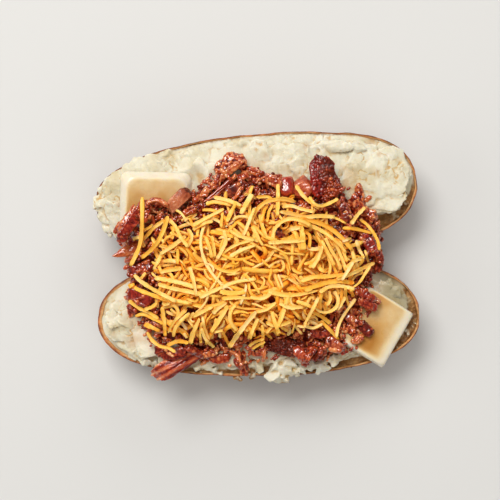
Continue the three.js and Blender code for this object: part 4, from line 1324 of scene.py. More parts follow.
def strand_set(H):
    """Fibre bundles over the heap: the ones that show singly, then a random cover."""
    r = np.random.default_rng(80)
    K = 10
    C, W, T, tone, off = [], [], [], [], []

    def bundle(xy, half, tn, fibres, splay):
        xy = np.asarray(xy)
        d = np.gradient(xy, axis=0)
        nrm = np.stack([-d[:, 1], d[:, 0]], 1) / (np.linalg.norm(d, axis=1)[:, None] + 1e-9)
        s = np.linspace(-1, 1, K)
        for k in range(fibres):
            e = (k - (fibres - 1) / 2) / max(fibres, 1) * 2
            w = half / fibres * 1.5 * (0.8 + 0.4 * r.random())
            lo = r.random() * 0.12
            path = xy + nrm * (half * e * 0.8 * (1 + splay * np.abs(s) ** 2 * r.normal(0.6, 0.8)))[:, None] + r.normal(0, 0.12, 2)
            if lo > 0.04:
                c = int(K * 0.1)
                path = np.array([np.interp(np.linspace(lo, 1 - r.random() * 0.12, K), np.linspace(0, 1, K), path[:, a]) for a in (0, 1)]).T
            z = lay(H, path, w, w * 0.75, 8, 0.08, 0.45)
            z = z + 0.3 * half * (1 - e * e) * r.random()
            C.append(np.column_stack([path, z]))
            prof = np.clip(1.25 - np.abs(s) ** 4 * 0.95, 0.28, 1) * (1 + 0.16 * r.normal(size=K))
            W.append(w * prof)
            T.append(w * 0.8 * prof)
            tone.append(np.clip(0.75 * tn + r.normal(0, 0.1), 0.1, 0.75))
            H.stamp(path[:, 0], path[:, 1], z + w * 0.5, max(w, 0.55))

    for pts, half, tn in STRANDS:
        if half < 1.45:
            p = np.array([at_px(a, b, 42) for a, b in pts])
            xy, L = spline(p, K)
            bundle(xy, half, tn, 2, 0.35)
    n = 0
    while n < 16:
        a, q = r.random() * 2 * math.pi, 0.55 + 0.47 * math.sqrt(r.random())
        if r.random() < 0.25:
            q = math.sqrt(r.random()) * 0.9
        R = float(plan_radius(BEEF, a)) * q
        x, y = BEEF["x"] + R * math.cos(a), BEEF["y"] + R * math.sin(a)
        L = 3.5 + 8 * r.random() ** 1.6
        g = float(flow(x, y)) + r.normal(0, 0.5)
        bend = r.normal(0, 0.07)
        s = np.linspace(-0.5, 0.5, K) * L
        th = g + bend * s
        xy = np.array([x, y]) + np.cumsum(np.stack([np.cos(th), np.sin(th)], 1) * (L / (K - 1)), 0) - np.array([math.cos(g), math.sin(g)]) * L / 2
        if rho(BEEF, xy[:, 0], xy[:, 1]).max() > 1.045 or on_chunk(x, y, 1.2):
            continue
        half = 0.5 + 0.5 * r.random() ** 1.6
        bundle(xy, half, 0.42 + 0.12 * r.normal(), 1 if half < 0.75 else (2 if half < 1.0 else 3), 0.5)
        n += 1
    C, W, T = np.array(C), np.array(W), np.array(T)
    S = 6
    V, Q, F = tubes(C, W, T, S, roll=r.random((len(C), 1)) * 3 + np.zeros(K), ridge=0.10)
    V = held(V + 0.16 * np.stack([fbm(V, 1.6, 1, 0.5, 90 + k) for k in range(3)], 1))
    me = mesh_from("beef_strands", V, Q, F)
    attr(me, "oil", np.clip(0.5 * fbm(V, 10, 2, 0.5, 74) + 0.1, 0, 1))
    attr(me, "tone", np.repeat(tone, K * S))
    attr(me, "gloss", np.ones(len(V)))
    attr(me, "red", np.clip(0.7 * fbm(V, 11, 2, 0.5, 76) - 0.02, 0, 0.6))
    s = np.tile(np.repeat(np.arange(K), S), len(C)) * 0.25
    ph = np.tile(np.arange(S), len(C) * K) * 2 * math.pi / S
    o = np.repeat(r.random(len(C)) * 90, K * S)
    attr(me, "sco", np.stack([s + o, 1.6 * np.cos(ph) + o, 1.6 * np.sin(ph)], 1), "FLOAT_VECTOR")
    return me


STRIPS = [  # frame pixels of the middle line, half width and half thickness in mm, roll, fold, tone, red, brown
    ([(146, 200), (139, 213), (129, 227), (119, 242)], 3.0, 1.5, -0.35, 0.32, 0.42, 0.8, 0.0), ([(151, 206), (143, 219), (135, 233), (127, 245)], 2.1, 1.3, 0.3, 0.2, 0.36, 0.6, 0.0),
    ([(194, 203), (208, 190), (225, 175), (243, 161)], 2.0, 1.8, 0.2, 0.0, 0.56, 0.0, 0.15), ([(201, 209), (218, 193), (236, 178)], 1.4, 1.2, 0.0, 0.0, 0.46, 0.2, 0.0), ([(168, 223), (184, 216), (200, 208)], 1.6, 1.3, 0.2, 0.0, 0.56, 0.0, 0.4),
    ([(147, 204), (157, 200), (169, 206)], 1.7, 1.1, -0.2, 0.0, 0.50, 0.4, 0.0), ([(340, 203), (344, 213), (346, 226)], 2.8, 1.6, 0.3, 0.0, 0.20, 0.3, 0.3), ([(226, 195), (235, 189), (246, 183)], 3.2, 1.9, 0.1, 0.0, 0.26, 0.1, 0.5),
    ([(262, 177), (272, 180), (281, 187)], 2.8, 1.8, 0.2, 0.15, 0.50, 0.3, 0.2),
    ([(361, 233), (369, 243), (376, 255)], 3.3, 1.9, 0.2, 0.2, 0.38, 0.85, 0.0), ([(376, 250), (380, 260), (378, 272)], 2.5, 1.7, 0.4, 0.0, 0.20, 0.3, 0.3),
    ([(366, 268), (369, 276), (366, 285)], 2.4, 1.6, 0.3, 0.0, 0.22, 0.3, 0.3), ([(129, 271), (140, 270), (151, 264)], 3.3, 1.9, -0.2, 0.15, 0.22, 0.4, 0.0), ([(124, 262), (136, 257), (148, 255)], 2.0, 1.5, 0.0, 0.0, 0.48, 0.3, 0.1), ([(127, 293), (139, 296), (152, 302)], 3.4, 1.8, 0.2, 0.25, 0.38, 0.85, 0.0),
    ([(127, 304), (134, 309), (141, 316)], 2.7, 1.6, 0.1, 0.1, 0.36, 0.6, 0.0), ([(155, 349), (170, 354), (187, 351)], 3.5, 1.9, 0.1, 0.1, 0.20, 0.4, 0.0), ([(186, 346), (196, 352), (206, 357)], 2.3, 1.5, 0.0, 0.0, 0.36, 0.3, 0.1), ([(205, 352), (217, 359), (230, 357)], 3.0, 1.9, 0.1, 0.0, 0.38, 0.3, 0.0),
    ([(249, 350), (258, 353), (267, 350)], 2.4, 1.6, 0.0, 0.0, 0.44, 0.2, 0.2), ([(264, 347), (264, 355), (263, 362)], 1.2, 1.0, 0.0, 0.0, 0.60, 0.1, 0.0), ([(295, 348), (302, 356), (307, 366)], 2.8, 1.7, 0.2, 0.1, 0.44, 0.6, 0.0),
    ([(311, 343), (308, 353), (306, 362)], 1.6, 1.3, 0.0, 0.0, 0.22, 0.3, 0.1), ([(319, 344), (315, 353), (311, 362)], 1.6, 1.3, 0.0, 0.0, 0.20, 0.4, 0.1), ([(327, 344), (323, 352), (319, 360)], 1.6, 1.3, 0.0, 0.0, 0.26, 0.3, 0.1), ([(327, 337), (335, 345), (344, 351)], 3.2, 1.8, 0.2, 0.1, 0.42, 0.5, 0.3),
    ([(352, 341), (357, 341), (363, 336)], 2.0, 1.5, 0.0, 0.0, 0.56, 0.1, 0.0), ([(360, 323), (366, 329), (372, 335)], 3.0, 2.3, 0.1, 0.0, 0.13, 0.4, 0.2), ([(355, 289), (364, 294), (374, 300)], 2.6, 1.6, 0.1, 0.1, 0.34, 0.6, 0.0), ([(357, 301), (367, 304), (377, 309)], 2.3, 1.6, 0.1, 0.0, 0.42, 0.5, 0.0),
    ([(343, 312), (352, 320), (360, 324)], 2.4, 1.6, 0.0, 0.0, 0.40, 0.3, 0.3), ([(310, 332), (320, 334), (331, 330)], 2.4, 1.5, 0.0, 0.0, 0.36, 0.6, 0.0), ([(206, 206), (222, 213), (236, 214)], 2.2, 1.5, 0.0, 0.0, 0.40, 0.2, 0.3), ([(300, 208), (310, 210), (322, 208)], 2.2, 1.5, 0.0, 0.0, 0.30, 0.3, 0.1),
]


def strip_set(H):
    """Torn strips of meat that show singly, and small ones between them: flat or folded, ragged at their ends, with fibres along them."""
    r, pile = np.random.default_rng(88), Pile()

    def strip(xy, half, thick, roll, fold, S, **attrs):
        K = len(xy)
        z = np.minimum(lay(H, xy, half * 0.6, thick, 26, 0.05, 0.5), 58.5 - thick)
        C = np.column_stack([xy, z])
        tan = np.gradient(C, axis=0)
        tan /= np.linalg.norm(tan, axis=1)[:, None]
        side = np.cross([0.0, 0.0, 1.0], tan)
        side /= np.linalg.norm(side, axis=1)[:, None]
        up = np.cross(tan, side)
        e, ph, k = np.linspace(-1, 1, K), 2 * math.pi * (np.arange(S) + 0.5) / S, r.random() * 90
        a = roll + 0.25 * r.normal() * e
        c, s = np.cos(a)[:, None], np.sin(a)[:, None]
        side, up = side * c + up * s, up * c - side * s
        u, v = np.sign(np.cos(ph)) * np.abs(np.cos(ph)) ** 0.75, np.sign(np.sin(ph)) * np.abs(np.sin(ph)) ** 0.75
        end = np.sqrt(np.clip(1 - np.clip((np.abs(e) - 0.66) / 0.34, 0, 1) ** 2.2, 0.02, 1))
        X = (half * end * (1 + 0.16 * fbm(C, 8.0, 2, 0.5, k)))[:, None] * u
        Y = (thick * np.sqrt(end))[:, None] * v + fold * half * end[:, None] * (u * u - 0.35)
        V = C[:, None] + side[:, None] * X[..., None] + up[:, None] * Y[..., None]
        q = np.stack([0 * X, X, Y], -1).reshape(-1, 3)
        rag = (np.sign(e) * smooth(0.5, 1, np.abs(e)))[:, None] * fbm(q + k, 1.7, 2, 0.6, 3).reshape(K, S) * 1.3 * min(half, 2)
        V = (V + tan[:, None] * rag[..., None]).reshape(-1, 3)
        j, i = np.meshgrid(np.arange(K - 1), np.arange(S), indexing="ij")
        f, g = j * S + i, j * S + (i + 1) % S
        fan = np.stack([np.zeros(S - 2, int), np.arange(2, S), np.arange(1, S - 1)], 1)
        s = np.linspace(0, 1, K) * np.linalg.norm(np.diff(C, axis=0), axis=1).sum()
        sco = np.stack([np.repeat(s, S), q[:, 1], q[:, 2]], 1) + [k * 7, k * 3, 0]
        pile.put(V, tris=np.concatenate([fan, fan[:, ::-1] + (K - 1) * S]), quads=np.stack([f, g, g + S, f + S], -1).reshape(-1, 4), sco=sco, **attrs)
        H.stamp(xy[:, 0], xy[:, 1], z + thick * 0.6, half * 0.9)

    for pts, half, thick, roll, fold, tone, red, brown in STRIPS:
        p = np.array([at_px(a, b, 42) for a, b in pts])
        L = np.linalg.norm(np.diff(p, axis=0), axis=1).sum()
        strip(spline(p, int(np.clip(L / 0.38, 18, 80)))[0], half, thick, roll, fold, 24, tone=tone, red=red, brown=brown)
    n = 0
    while n < 45:
        a, q = r.random() * 2 * math.pi, 0.55 + 0.45 * math.sqrt(r.random())
        R = float(plan_radius(BEEF, a)) * q
        x, y = BEEF["x"] + R * math.cos(a), BEEF["y"] + R * math.sin(a)
        if on_chunk(x, y, 1.25) or r.random() < 0.8 * thick_of_heap(x, y):
            continue
        L, half = 3.5 + 6 * r.random() ** 1.4, 0.8 + 1.0 * r.random() ** 1.5
        K = int(np.clip(L / 0.42, 9, 24))
        th = float(flow(x, y)) + r.normal(0, 0.7) + r.normal(0, 0.5) * np.linspace(-0.5, 0.5, K)
        xy = np.cumsum(np.stack([np.cos(th), np.sin(th)], 1) * (L / (K - 1)), 0)
        xy = xy - xy[K // 2] + [x, y]
        if rho(BEEF, xy[:, 0], xy[:, 1]).max() > 1.02 or np.ptp(H.at(xy[:, 0], xy[:, 1])) > 3.5:
            continue
        strip(xy, half, half * (0.55 + 0.25 * r.random()), r.normal(0, 0.3), 0.25 * r.normal(), 14, tone=float(np.clip(0.46 + 0.14 * r.normal(), 0.12, 0.8)), red=float(np.clip(0.5 * r.normal(), 0, 0.8)), brown=float(np.clip(0.2 * r.normal(), 0, 0.5)))
        n += 1
    me = pile.mesh("beef_strips")
    V, sco = co(me), np.concatenate(pile.A["sco"])
    n, E = normals(me), edges_of(me)
    fibre = 0.5 - np.abs(fbm(sco, (7, 1.25, 1.25), 2, 0.5, 131))
    tilt, edge, own = grains(V + 0.5 * np.stack([fbm(V, 2.4, 1, 0.5, 340 + k) for k in range(3)], 1), 2.0, 6)
    grit = smooth(0.0, 0.45, edge)
    V = V + n * (0.30 * fibre - 0.12 + 0.12 * fbm(V, 3.0, 2, 0.5, 132) + 0.10 * fbm(V, 1.1, 2, 0.5, 133) + 0.38 * (grit - 0.75) + 0.14 * tilt)[:, None]
    set_co(me, held(V))
    # Painted shade and painted light: the tone is darker in hollows and at grain edges and lighter on bumps, besides
    # the fibre streaks and random variation.
    cav = np.einsum("ij,ij->i", V - relax(V, E, 4, 0.6), n)
    tone = np.concatenate(pile.A["tone"]) + 0.16 * fbm(V, 3.5, 2, 0.5, 134) + 0.24 * (fibre - 0.3) + 0.10 * own + 0.14 * (grit - 0.8) + 0.5 * np.clip(cav, -0.4, 0.4)
    me.attributes["tone"].data.foreach_set("value", np.clip(tone, 0.02, 0.95).astype(np.float32))
    attr(me, "gloss", np.ones(len(V)))
    attr(me, "oil", np.clip(0.4 * fbm(V, 9, 2, 0.5, 74), 0, 1))
    return me


def thick_of_heap(x, y):
    """How closely the cheese covers the meat: 1 in the middle, little where only single shreds lie."""
    px, py = 250 + (x - CAM_X) / 0.537, 250 - (y - CAM_Y) / 0.537
    d = math.hypot((px - 252) / (98 if px < 252 else 112), (py - 274) / (48 if py < 274 else 64))
    return 0.02 + 0.98 * float(smooth(1.02, 0.78, d))


def crumb_set(H):
    """Chopped meat: rows of small lumps wherever the meat shows, each row one torn bit of fibre."""
    r, pile = np.random.default_rng(85), Pile()
    lib = ball_library(20, 2, 0.30, 5)
    for go in range(5600):
        a, q = r.random() * 2 * math.pi, math.sqrt(r.random()) * 1.03
        R = float(plan_radius(BEEF, a)) * q
        x, y = BEEF["x"] + R * math.cos(a), BEEF["y"] + R * math.sin(a)
        if go < 130:
            a, b = at_px(333, 190, 46)
            x, y = float(a) + 5.5 * r.uniform(-1, 1), float(b) + 6.5 * r.uniform(-1, 1)
            if float(H.at(x, y)) < 38:
                continue
        elif r.random() < thick_of_heap(x, y) * 1.3 - 0.12 or on_chunk(x, y, 1.1):
            continue
        if pile.n > 42 * 1250:
            break
        g = float(flow(x, y)) + r.normal(0, 0.6)
        s, n = 0.68 + 0.62 * r.random() ** 1.7, int(r.integers(1, 4))
        tn = float(np.clip(0.43 + 0.18 * r.normal(), 0.08, 0.95))
        if go < 130:
            s, tn = 0.5 + 0.4 * r.random(), float(np.clip(0.2 + 0.12 * r.normal(), 0.03, 0.5))
        for i in range(n):
            z = float(H.over(np.array(x), np.array(y), s * 0.5)) - 0.2 * s
            if z < float(bed_height(x, y)) + 1.2 and (r.random() < 0.98 or x > 40):
                break
            if abs(float(H.at(x, y)) - z) > 2.2:
                break
            v, f = lib[r.integers(len(lib))]
            w = s * (0.8 + 0.5 * r.random())
            V = ((v @ rot(*(r.random(3) * 360)).T) * [w * 1.25, w * 0.95, w * 0.72]) @ rot(r.normal(0, 14), r.normal(0, 14), math.degrees(g)).T + [x, y, z]
            pile.put(held(V), tris=f, tone=float(np.clip(tn + 0.1 * r.normal(), 0.05, 1)), sco=V * 0.9 + r.random() * 50)
            H.stamp([x], [y], [z + w * 0.6], w)
            g += r.normal(0, 0.25)
            x, y = x + math.cos(g) * s * 1.5, y + math.sin(g) * s * 1.5
            if rho(BEEF, x, y) > 1.05:
                break
    me = pile.mesh("beef_crumbs")
    attr(me, "gloss", np.ones(len(me.vertices)))
    attr(me, "red", np.clip(0.7 * fbm(co(me), 11, 2, 0.5, 76) - 0.02, 0, 0.6))
    attr(me, "oil", np.clip(0.6 * fbm(co(me), 8, 2, 0.5, 74) + 0.12, 0, 1))
    return me


def piece(name, c, tone, detail=5, crisp=9, rough=0.5, groove=0.6, ends=0.5, gloss=1.0, red=0.0, spur=None, stripes=0.0, taper=None, cuts=16, brown=0.0, loose=0.08):
    """A torn piece of meat: an angular body with cut-off corners, fibre grooves along its length and ragged ends. tone and red are numbers, or an axis with its stops."""
    v, f = ball(detail)
    half, k = np.array([c["rx"], c["ry"], c["rz"]]), c["seed"]
    r = np.random.default_rng(int(k * 10))
    planes = np.concatenate([np.eye(3), -np.eye(3), r.normal(size=(cuts, 3)) * [1, 1, 0.8]])
    planes += 0.16 * r.normal(size=planes.shape) * (np.arange(len(planes)) < 6)[:, None]
    planes /= np.linalg.norm(planes, axis=1)[:, None]
    dist = np.where(np.arange(len(planes)) < 6, 0.97, (1.03 if cuts == 16 else 0.86) + 0.16 * r.random(len(planes)))
    S = v / (np.maximum(v @ planes.T / dist, 0) ** crisp).sum(1)[:, None] ** (1 / crisp)
    P = half * S
    long = 0 if half[0] >= half[1] else 1
    P = P + loose * half.mean() * np.stack([fbm(P, 1.1 * half.mean(), 2, 0.5, k + j) for j in range(3)], 1) * [1, 1, 0.8]
    if taper is not None:
        P[:, 1:] *= (taper[2] + (1 - taper[2]) * smooth(taper[0], taper[1], S[:, 0]))[:, None]
    rag = np.zeros_like(P)
    flat = P.copy()
    flat[:, long] = 0
    rag[:, long] = np.sign(S[:, long]) * smooth(0.45, 1, np.abs(S[:, long])) * fbm(flat + 20 * np.sign(S[:, long])[:, None], 2.6, 2, 0.6, k + 6) * ends * 2.2
    P = P + rag
    if spur is not None:
        at, to = np.array(spur[0]), np.array(spur[1])
        P = P + np.exp(-(((S - at) / spur[2]) ** 2).sum(1))[:, None] * to
    me = mesh_from(name, P + [OX, OY, 0], tris=f)
    n = normals(me)
    wave = np.full(3, 1.7)
    wave[long] = 8.0
    fibre = np.abs(fbm(P, wave, 2, 0.5, k + 2)) - 0.3
    tilt, edge, own = grains(P + 0.5 * np.stack([fbm(P, 2.2, 1, 0.5, 320 + j) for j in range(3)], 1), 2.1, k)
    grit = smooth(0.0, 0.4, edge)
    P = P + n * (0.3 * rough * fbm(P, 3.4, 3, 0.6, k) + groove * fibre + rough * (0.55 * (grit - 0.8) + 0.22 * tilt))[:, None]
    E = edges_of(me)
    cav = np.einsum("ij,ij->i", P - relax(P, E, 10, 0.6), n)
    R = rot(c.get("roll", 0), c["lean"], c["turn"])
    set_co(me, held(P @ R.T + [c["x"], c["y"], c["z"]]))
    across = lambda q: np.full(len(P), float(q)) if np.isscalar(q) else np.interp(S[:, 0 if q[0] == "x" else 1], q[1], q[2])
    # Painted shade and painted light: the tone is darker in hollows and lighter on bumps, over each piece's own tone
    # along its length.
    t = across(tone) + 0.11 * fbm(P, 4, 2, 0.5, k + 4) + 0.8 * np.minimum(cav, 0) + 0.5 * np.maximum(cav, 0) + 0.12 * min(rough, 1) * own
    t = t + stripes * np.sin(P[:, 1 - long] * 1.7 + 1.2 * fbm(P, 5, 2, 0.5, 3))
    attr(me, "tone", np.clip(t, 0.0, 1))
    attr(me, "gloss", np.full(len(P), gloss))
    attr(me, "red", np.clip(across(red) + 0.15 * fbm(P, 6, 2, 0.5, k + 7), 0, 1))
    attr(me, "oil", np.clip(0.3 * fbm(P, 5, 2, 0.5, k + 5), 0, 1))
    attr(me, "brown", np.clip(across(brown) + 0.2 * fbm(P, 5, 2, 0.5, k + 8) * (np.max(across(brown)) > 0), 0, 1))
    attr(me, "sco", P * np.where(np.arange(3) == long, 0.35, 1.4) + k * 9, "FLOAT_VECTOR")
    return me


# ------------------------------------------------------------------ cheese
SHREDS = [  # frame pixels of each middle line, width in pixels, tone; in the order that they lie
    ([(178, 249), (178, 264)], 3.4, 0.3), ([(190, 218), (192, 223), (195, 228)], 3.4, 0.25), ([(171, 232), (173, 236), (172, 239)], 3.0, 0.4), ([(161, 238), (164, 243)], 3.2, 0.6), ([(139, 231), (147, 228), (152, 224)], 3.6, 0.35),
    ([(212, 236), (214, 247), (215, 257)], 3.6, 0.5), ([(206, 237), (210, 248), (212, 258)], 3.8, 0.5), ([(230, 231), (242, 237), (255, 240)], 4.2, 0.6), ([(193, 230), (203, 224), (213, 221)], 4.2, 0.6), ([(127, 285), (140, 291), (155, 296), (176, 302)], 5.0, 0.4),
    ([(133, 284), (128, 288)], 3.6, 0.4), ([(134, 317), (142, 315), (152, 319), (164, 324)], 3.6, 0.35), ([(143, 325), (151, 328), (159, 332)], 5.4, 0.35), ([(128, 301), (137, 308), (148, 313), (158, 319)], 4.0, 0.5), ([(144, 310), (152, 307), (157, 303)], 4.0, 0.5),
    ([(162, 296), (176, 300), (190, 303)], 4.4, 0.5), ([(160, 272), (170, 270), (182, 268)], 4.2, 0.6), ([(158, 284), (172, 288), (188, 291), (203, 294)], 4.6, 0.65), ([(155, 278), (168, 280), (182, 283), (196, 287)], 5.0, 0.7), ([(220, 291), (232, 293), (246, 291)], 6.0, 0.3),
    ([(222, 298), (236, 297), (252, 298)], 4.6, 0.45), ([(232, 313), (240, 311), (249, 313)], 3.4, 0.4), ([(193, 316), (203, 311), (213, 306)], 4.2, 0.6), ([(222, 330), (225, 337), (229, 346)], 3.4, 0.3), ([(201, 344), (200, 334), (202, 322)], 3.0, 0.7),
    ([(203, 316), (205, 328), (209, 340)], 3.4, 0.8), ([(212, 332), (223, 330)], 3.2, 0.7), ([(184, 333), (187, 338)], 3.4, 0.8), ([(262, 325), (263, 336), (262, 348)], 3.6, 0.5), ([(266, 333), (270, 328), (274, 325)], 3.2, 0.6), ([(249, 347), (256, 342), (264, 339)], 3.4, 0.6),
    ([(252, 350), (259, 345), (265, 342)], 3.0, 0.5), ([(279, 318), (281, 326), (288, 331)], 3.6, 0.5), ([(266, 322), (276, 325), (291, 321)], 3.8, 0.6), ([(284, 308), (281, 317), (277, 326)], 5.0, 0.5), ([(272, 311), (274, 320), (279, 334)], 4.4, 0.5),
    ([(256, 311), (266, 309), (276, 302)], 4.0, 0.6), ([(250, 297), (262, 298), (270, 293), (274, 287)], 4.4, 0.6), ([(268, 290), (280, 294), (298, 294), (318, 290)], 5.0, 0.5), ([(279, 303), (290, 307), (303, 306)], 4.4, 0.7), ([(296, 301), (305, 304), (314, 308)], 4.4, 0.6),
    ([(304, 290), (320, 284), (338, 281), (354, 283)], 5.4, 0.25), ([(300, 281), (314, 277), (330, 276), (346, 274)], 5.0, 0.5), ([(321, 240), (327, 252), (334, 266)], 3.8, 0.5), ([(325, 238), (331, 250), (337, 260), (341, 270)], 3.8, 0.6), ([(332, 238), (338, 250), (343, 262), (346, 272)], 3.6, 0.6),
    ([(339, 241), (343, 252), (347, 262)], 3.6, 0.5), ([(300, 224), (302, 236), (303, 250)], 6.0, 0.4), ([(268, 243), (280, 242), (294, 241), (305, 240)], 4.6, 0.6), ([(284, 234), (291, 229), (300, 228)], 4.2, 0.8), ([(312, 268), (318, 258), (322, 246)], 4.0, 0.7),
    ([(252, 226), (257, 236), (263, 246)], 4.6, 0.45), ([(260, 215), (262, 226), (266, 237)], 4.6, 0.5), ([(268, 204), (264, 212), (262, 222)], 3.4, 0.45), ([(273, 204), (269, 212), (267, 222)], 3.4, 0.45), ([(278, 184), (278, 198), (277, 216)], 4.6, 0.6),
    ([(251, 222), (256, 211), (264, 203), (273, 200), (284, 199), (296, 202)], 4.2, 0.55), ([(282, 207), (291, 206), (301, 209), (314, 212)], 4.0, 0.7), ([(296, 185), (303, 195), (311, 203), (319, 209)], 4.4, 0.7), ([(309, 197), (314, 204), (321, 206), (330, 203), (338, 199)], 4.0, 0.6),
    ([(280, 212), (292, 214), (304, 217), (320, 216), (335, 217)], 4.6, 0.65), ([(300, 219), (316, 222), (331, 229), (343, 239), (352, 250)], 4.8, 0.3), ([(298, 223), (313, 227), (326, 234), (338, 244), (346, 253)], 4.6, 0.5), ([(274, 245), (273, 233), (279, 224), (289, 219), (301, 221), (311, 226)], 4.2, 0.6),
    ([(343, 228), (357, 229), (374, 233)], 4.0, 0.3), ([(361, 219), (368, 224), (375, 233), (379, 241), (380, 250)], 3.6, 0.35), ([(351, 224), (358, 215), (366, 207)], 4.2, 0.8), ([(342, 241), (352, 238)], 3.6, 0.95), ([(357, 240), (360, 249), (365, 258)], 4.0, 0.85), ([(364, 258), (354, 261), (346, 268)], 4.0, 0.8),
    ([(366, 250), (368, 257), (371, 263)], 2.8, 0.8), ([(376, 263), (364, 268), (350, 274), (336, 279)], 4.2, 0.75), ([(371, 266), (365, 275), (360, 282), (352, 288)], 3.6, 0.7), ([(353, 262), (347, 271), (341, 280)], 3.8, 0.98), ([(319, 292), (328, 287), (340, 286), (354, 289)], 4.6, 0.75),
    ([(345, 288), (346, 297), (351, 308)], 3.8, 0.5), ([(350, 289), (354, 297)], 3.6, 0.4), ([(345, 297), (341, 304), (337, 310)], 3.6, 0.75), ([(334, 291), (338, 299), (336, 307), (328, 312), (319, 311), (312, 305)], 3.8, 0.7), ([(329, 291), (330, 299), (326, 306)], 3.8, 0.6),
    ([(311, 311), (321, 316), (331, 324)], 4.4, 0.4), ([(321, 321), (331, 331), (339, 340)], 4.0, 0.35), ([(318, 297), (311, 311), (304, 325)], 4.0, 0.8), ([(304, 325), (313, 328), (323, 324)], 3.6, 0.8), ([(356, 299), (349, 309), (342, 320), (338, 330), (337, 338)], 3.8, 0.8),
    ([(258, 318), (253, 329), (249, 339)], 4.4, 0.6), ([(236, 304), (231, 311), (231, 321), (238, 331)], 4.0, 0.6), ([(256, 311), (247, 322), (238, 334), (229, 348)], 5.0, 0.85), ([(211, 332), (219, 320), (228, 305)], 5.2, 0.55), ([(213, 313), (219, 307), (227, 302)], 4.6, 0.8),
    ([(202, 328), (206, 339), (214, 348)], 4.0, 0.8), ([(190, 344), (194, 331), (200, 318)], 5.4, 0.6), ([(190, 313), (181, 321), (176, 328), (173, 337)], 4.2, 0.7), ([(187, 309), (177, 318), (172, 325), (168, 333)], 4.0, 0.65), ([(188, 343), (177, 342), (166, 347)], 4.6, 0.4),
    ([(146, 333), (151, 341), (159, 347), (168, 349), (175, 353)], 3.8, 0.45), ([(162, 307), (164, 320), (165, 337)], 4.2, 0.5), ([(200, 297), (215, 290), (235, 282), (256, 279)], 4.4, 0.7), ([(190, 267), (194, 281), (197, 296)], 4.4, 0.75), ([(133, 275), (139, 281), (150, 288), (163, 294), (177, 301)], 4.6, 0.75),
    ([(145, 273), (140, 279)], 3.6, 0.6), ([(230, 257), (242, 250), (256, 245)], 4.4, 0.7), ([(224, 230), (226, 241), (222, 251), (217, 259)], 4.2, 0.7), ([(188, 229), (192, 237), (188, 247)], 4.2, 0.65), ([(162, 253), (158, 262), (153, 270)], 4.2, 0.7), ([(186, 236), (173, 246), (160, 254)], 4.6, 0.7),
    ([(252, 194), (247, 203), (241, 214)], 6.2, 0.85), ([(206, 204), (216, 202), (232, 205)], 4.4, 0.55), ([(214, 197), (226, 200), (241, 206)], 4.4, 0.75), ([(193, 226), (207, 218), (224, 209)], 4.4, 0.65), ([(227, 222), (232, 211), (236, 204)], 5.0, 0.5), ([(255, 208), (250, 220), (243, 236)], 4.0, 0.8),
    ([(168, 219), (175, 226), (181, 237), (189, 247)], 4.2, 0.6), ([(164, 220), (154, 227), (147, 234), (140, 241)], 3.8, 0.6), ([(131, 239), (138, 238), (143, 247)], 3.8, 0.75), ([(168, 216), (163, 231), (157, 243), (148, 252), (140, 258)], 4.6, 0.4), ([(142, 197), (142, 213), (141, 231), (138, 247), (129, 266)], 4.6, 0.45),
]


SECTION = np.array([(1.0, -0.35), (0.92, 0.9), (0.4, 0.5), (-0.4, 0.5), (-0.92, 0.9), (-1.0, -0.35), (-0.5, -1.0), (0.5, -1.0)])
CORNERS = (0, 1, 4, 5)


def ribbons(C, W, T, roll):
    """Shreds of one point count, with a shallow trough along one face: vertices, quads, end caps."""
    n, K, S = *C.shape[:2], len(SECTION)
    tan = np.gradient(C, axis=1)
    tan /= np.linalg.norm(tan, axis=2)[..., None] + 1e-9
    side = np.cross([0.0, 0.0, 1.0], tan)
    side /= np.linalg.norm(side, axis=2)[..., None] + 1e-9
    up = np.cross(tan, side)
    cr, sr = np.cos(roll)[..., None], np.sin(roll)[..., None]
    side, up = side * cr + up * sr, up * cr - side * sr
    V = C[:, :, None] + side[:, :, None] * (W[..., None] * SECTION[:, 0])[..., None] + up[:, :, None] * (T[..., None] * SECTION[:, 1])[..., None]
    j, i = np.meshgrid(np.arange(K - 1), np.arange(S), indexing="ij")
    a, b = j * S + i, j * S + (i + 1) % S
    q = np.stack([a, b, b + S, a + S], -1).reshape(-1, 4)
    fan = np.array([(7, 6, 5), (7, 5, 0), (0, 5, 3), (3, 5, 4), (0, 3, 2), (0, 2, 1)])
    caps = np.concatenate([fan, fan[:, ::-1] + (K - 1) * S])
    off = (np.arange(n) * K * S)[:, None, None]
    return V.reshape(-1, 3), (q[None] + off).reshape(-1, 4), (caps[None] + off).reshape(-1, 3)


GAPS = [(279, 233, 4.6), (289, 231, 3.6), (262, 229, 3.2), (315, 244, 4.2), (182, 256, 4.2), (272, 300, 3.8), (252, 287, 2.8), (229, 278, 3.6), (202, 273, 3.0), (260, 253, 3.2), (228, 244, 3.4), (262, 341, 3.2), (296, 262, 2.6), (210, 303, 2.8),
        (216, 236, 2.8), (246, 280, 2.8), (282, 273, 2.6), (314, 292, 3.0), (195, 290, 3.0), (223, 293, 2.6), (250, 225, 2.6), (237, 228, 2.6), (173, 270, 3.2), (306, 242, 3.2), (262, 267, 2.6), (188, 310, 3.0)]


def gap(x, y):
    """Places where no shred of the filling lies and the meat shows, 1 in the middle of one."""
    k = 0.0 * np.asarray(x, float)
    for px_, py_, r in GAPS:
        a, b = at_px(px_, py_, 52)
        k = np.maximum(k, smooth(1.2, 0.6, np.hypot(x - a, y - b) / (r * 0.54)))
    return k


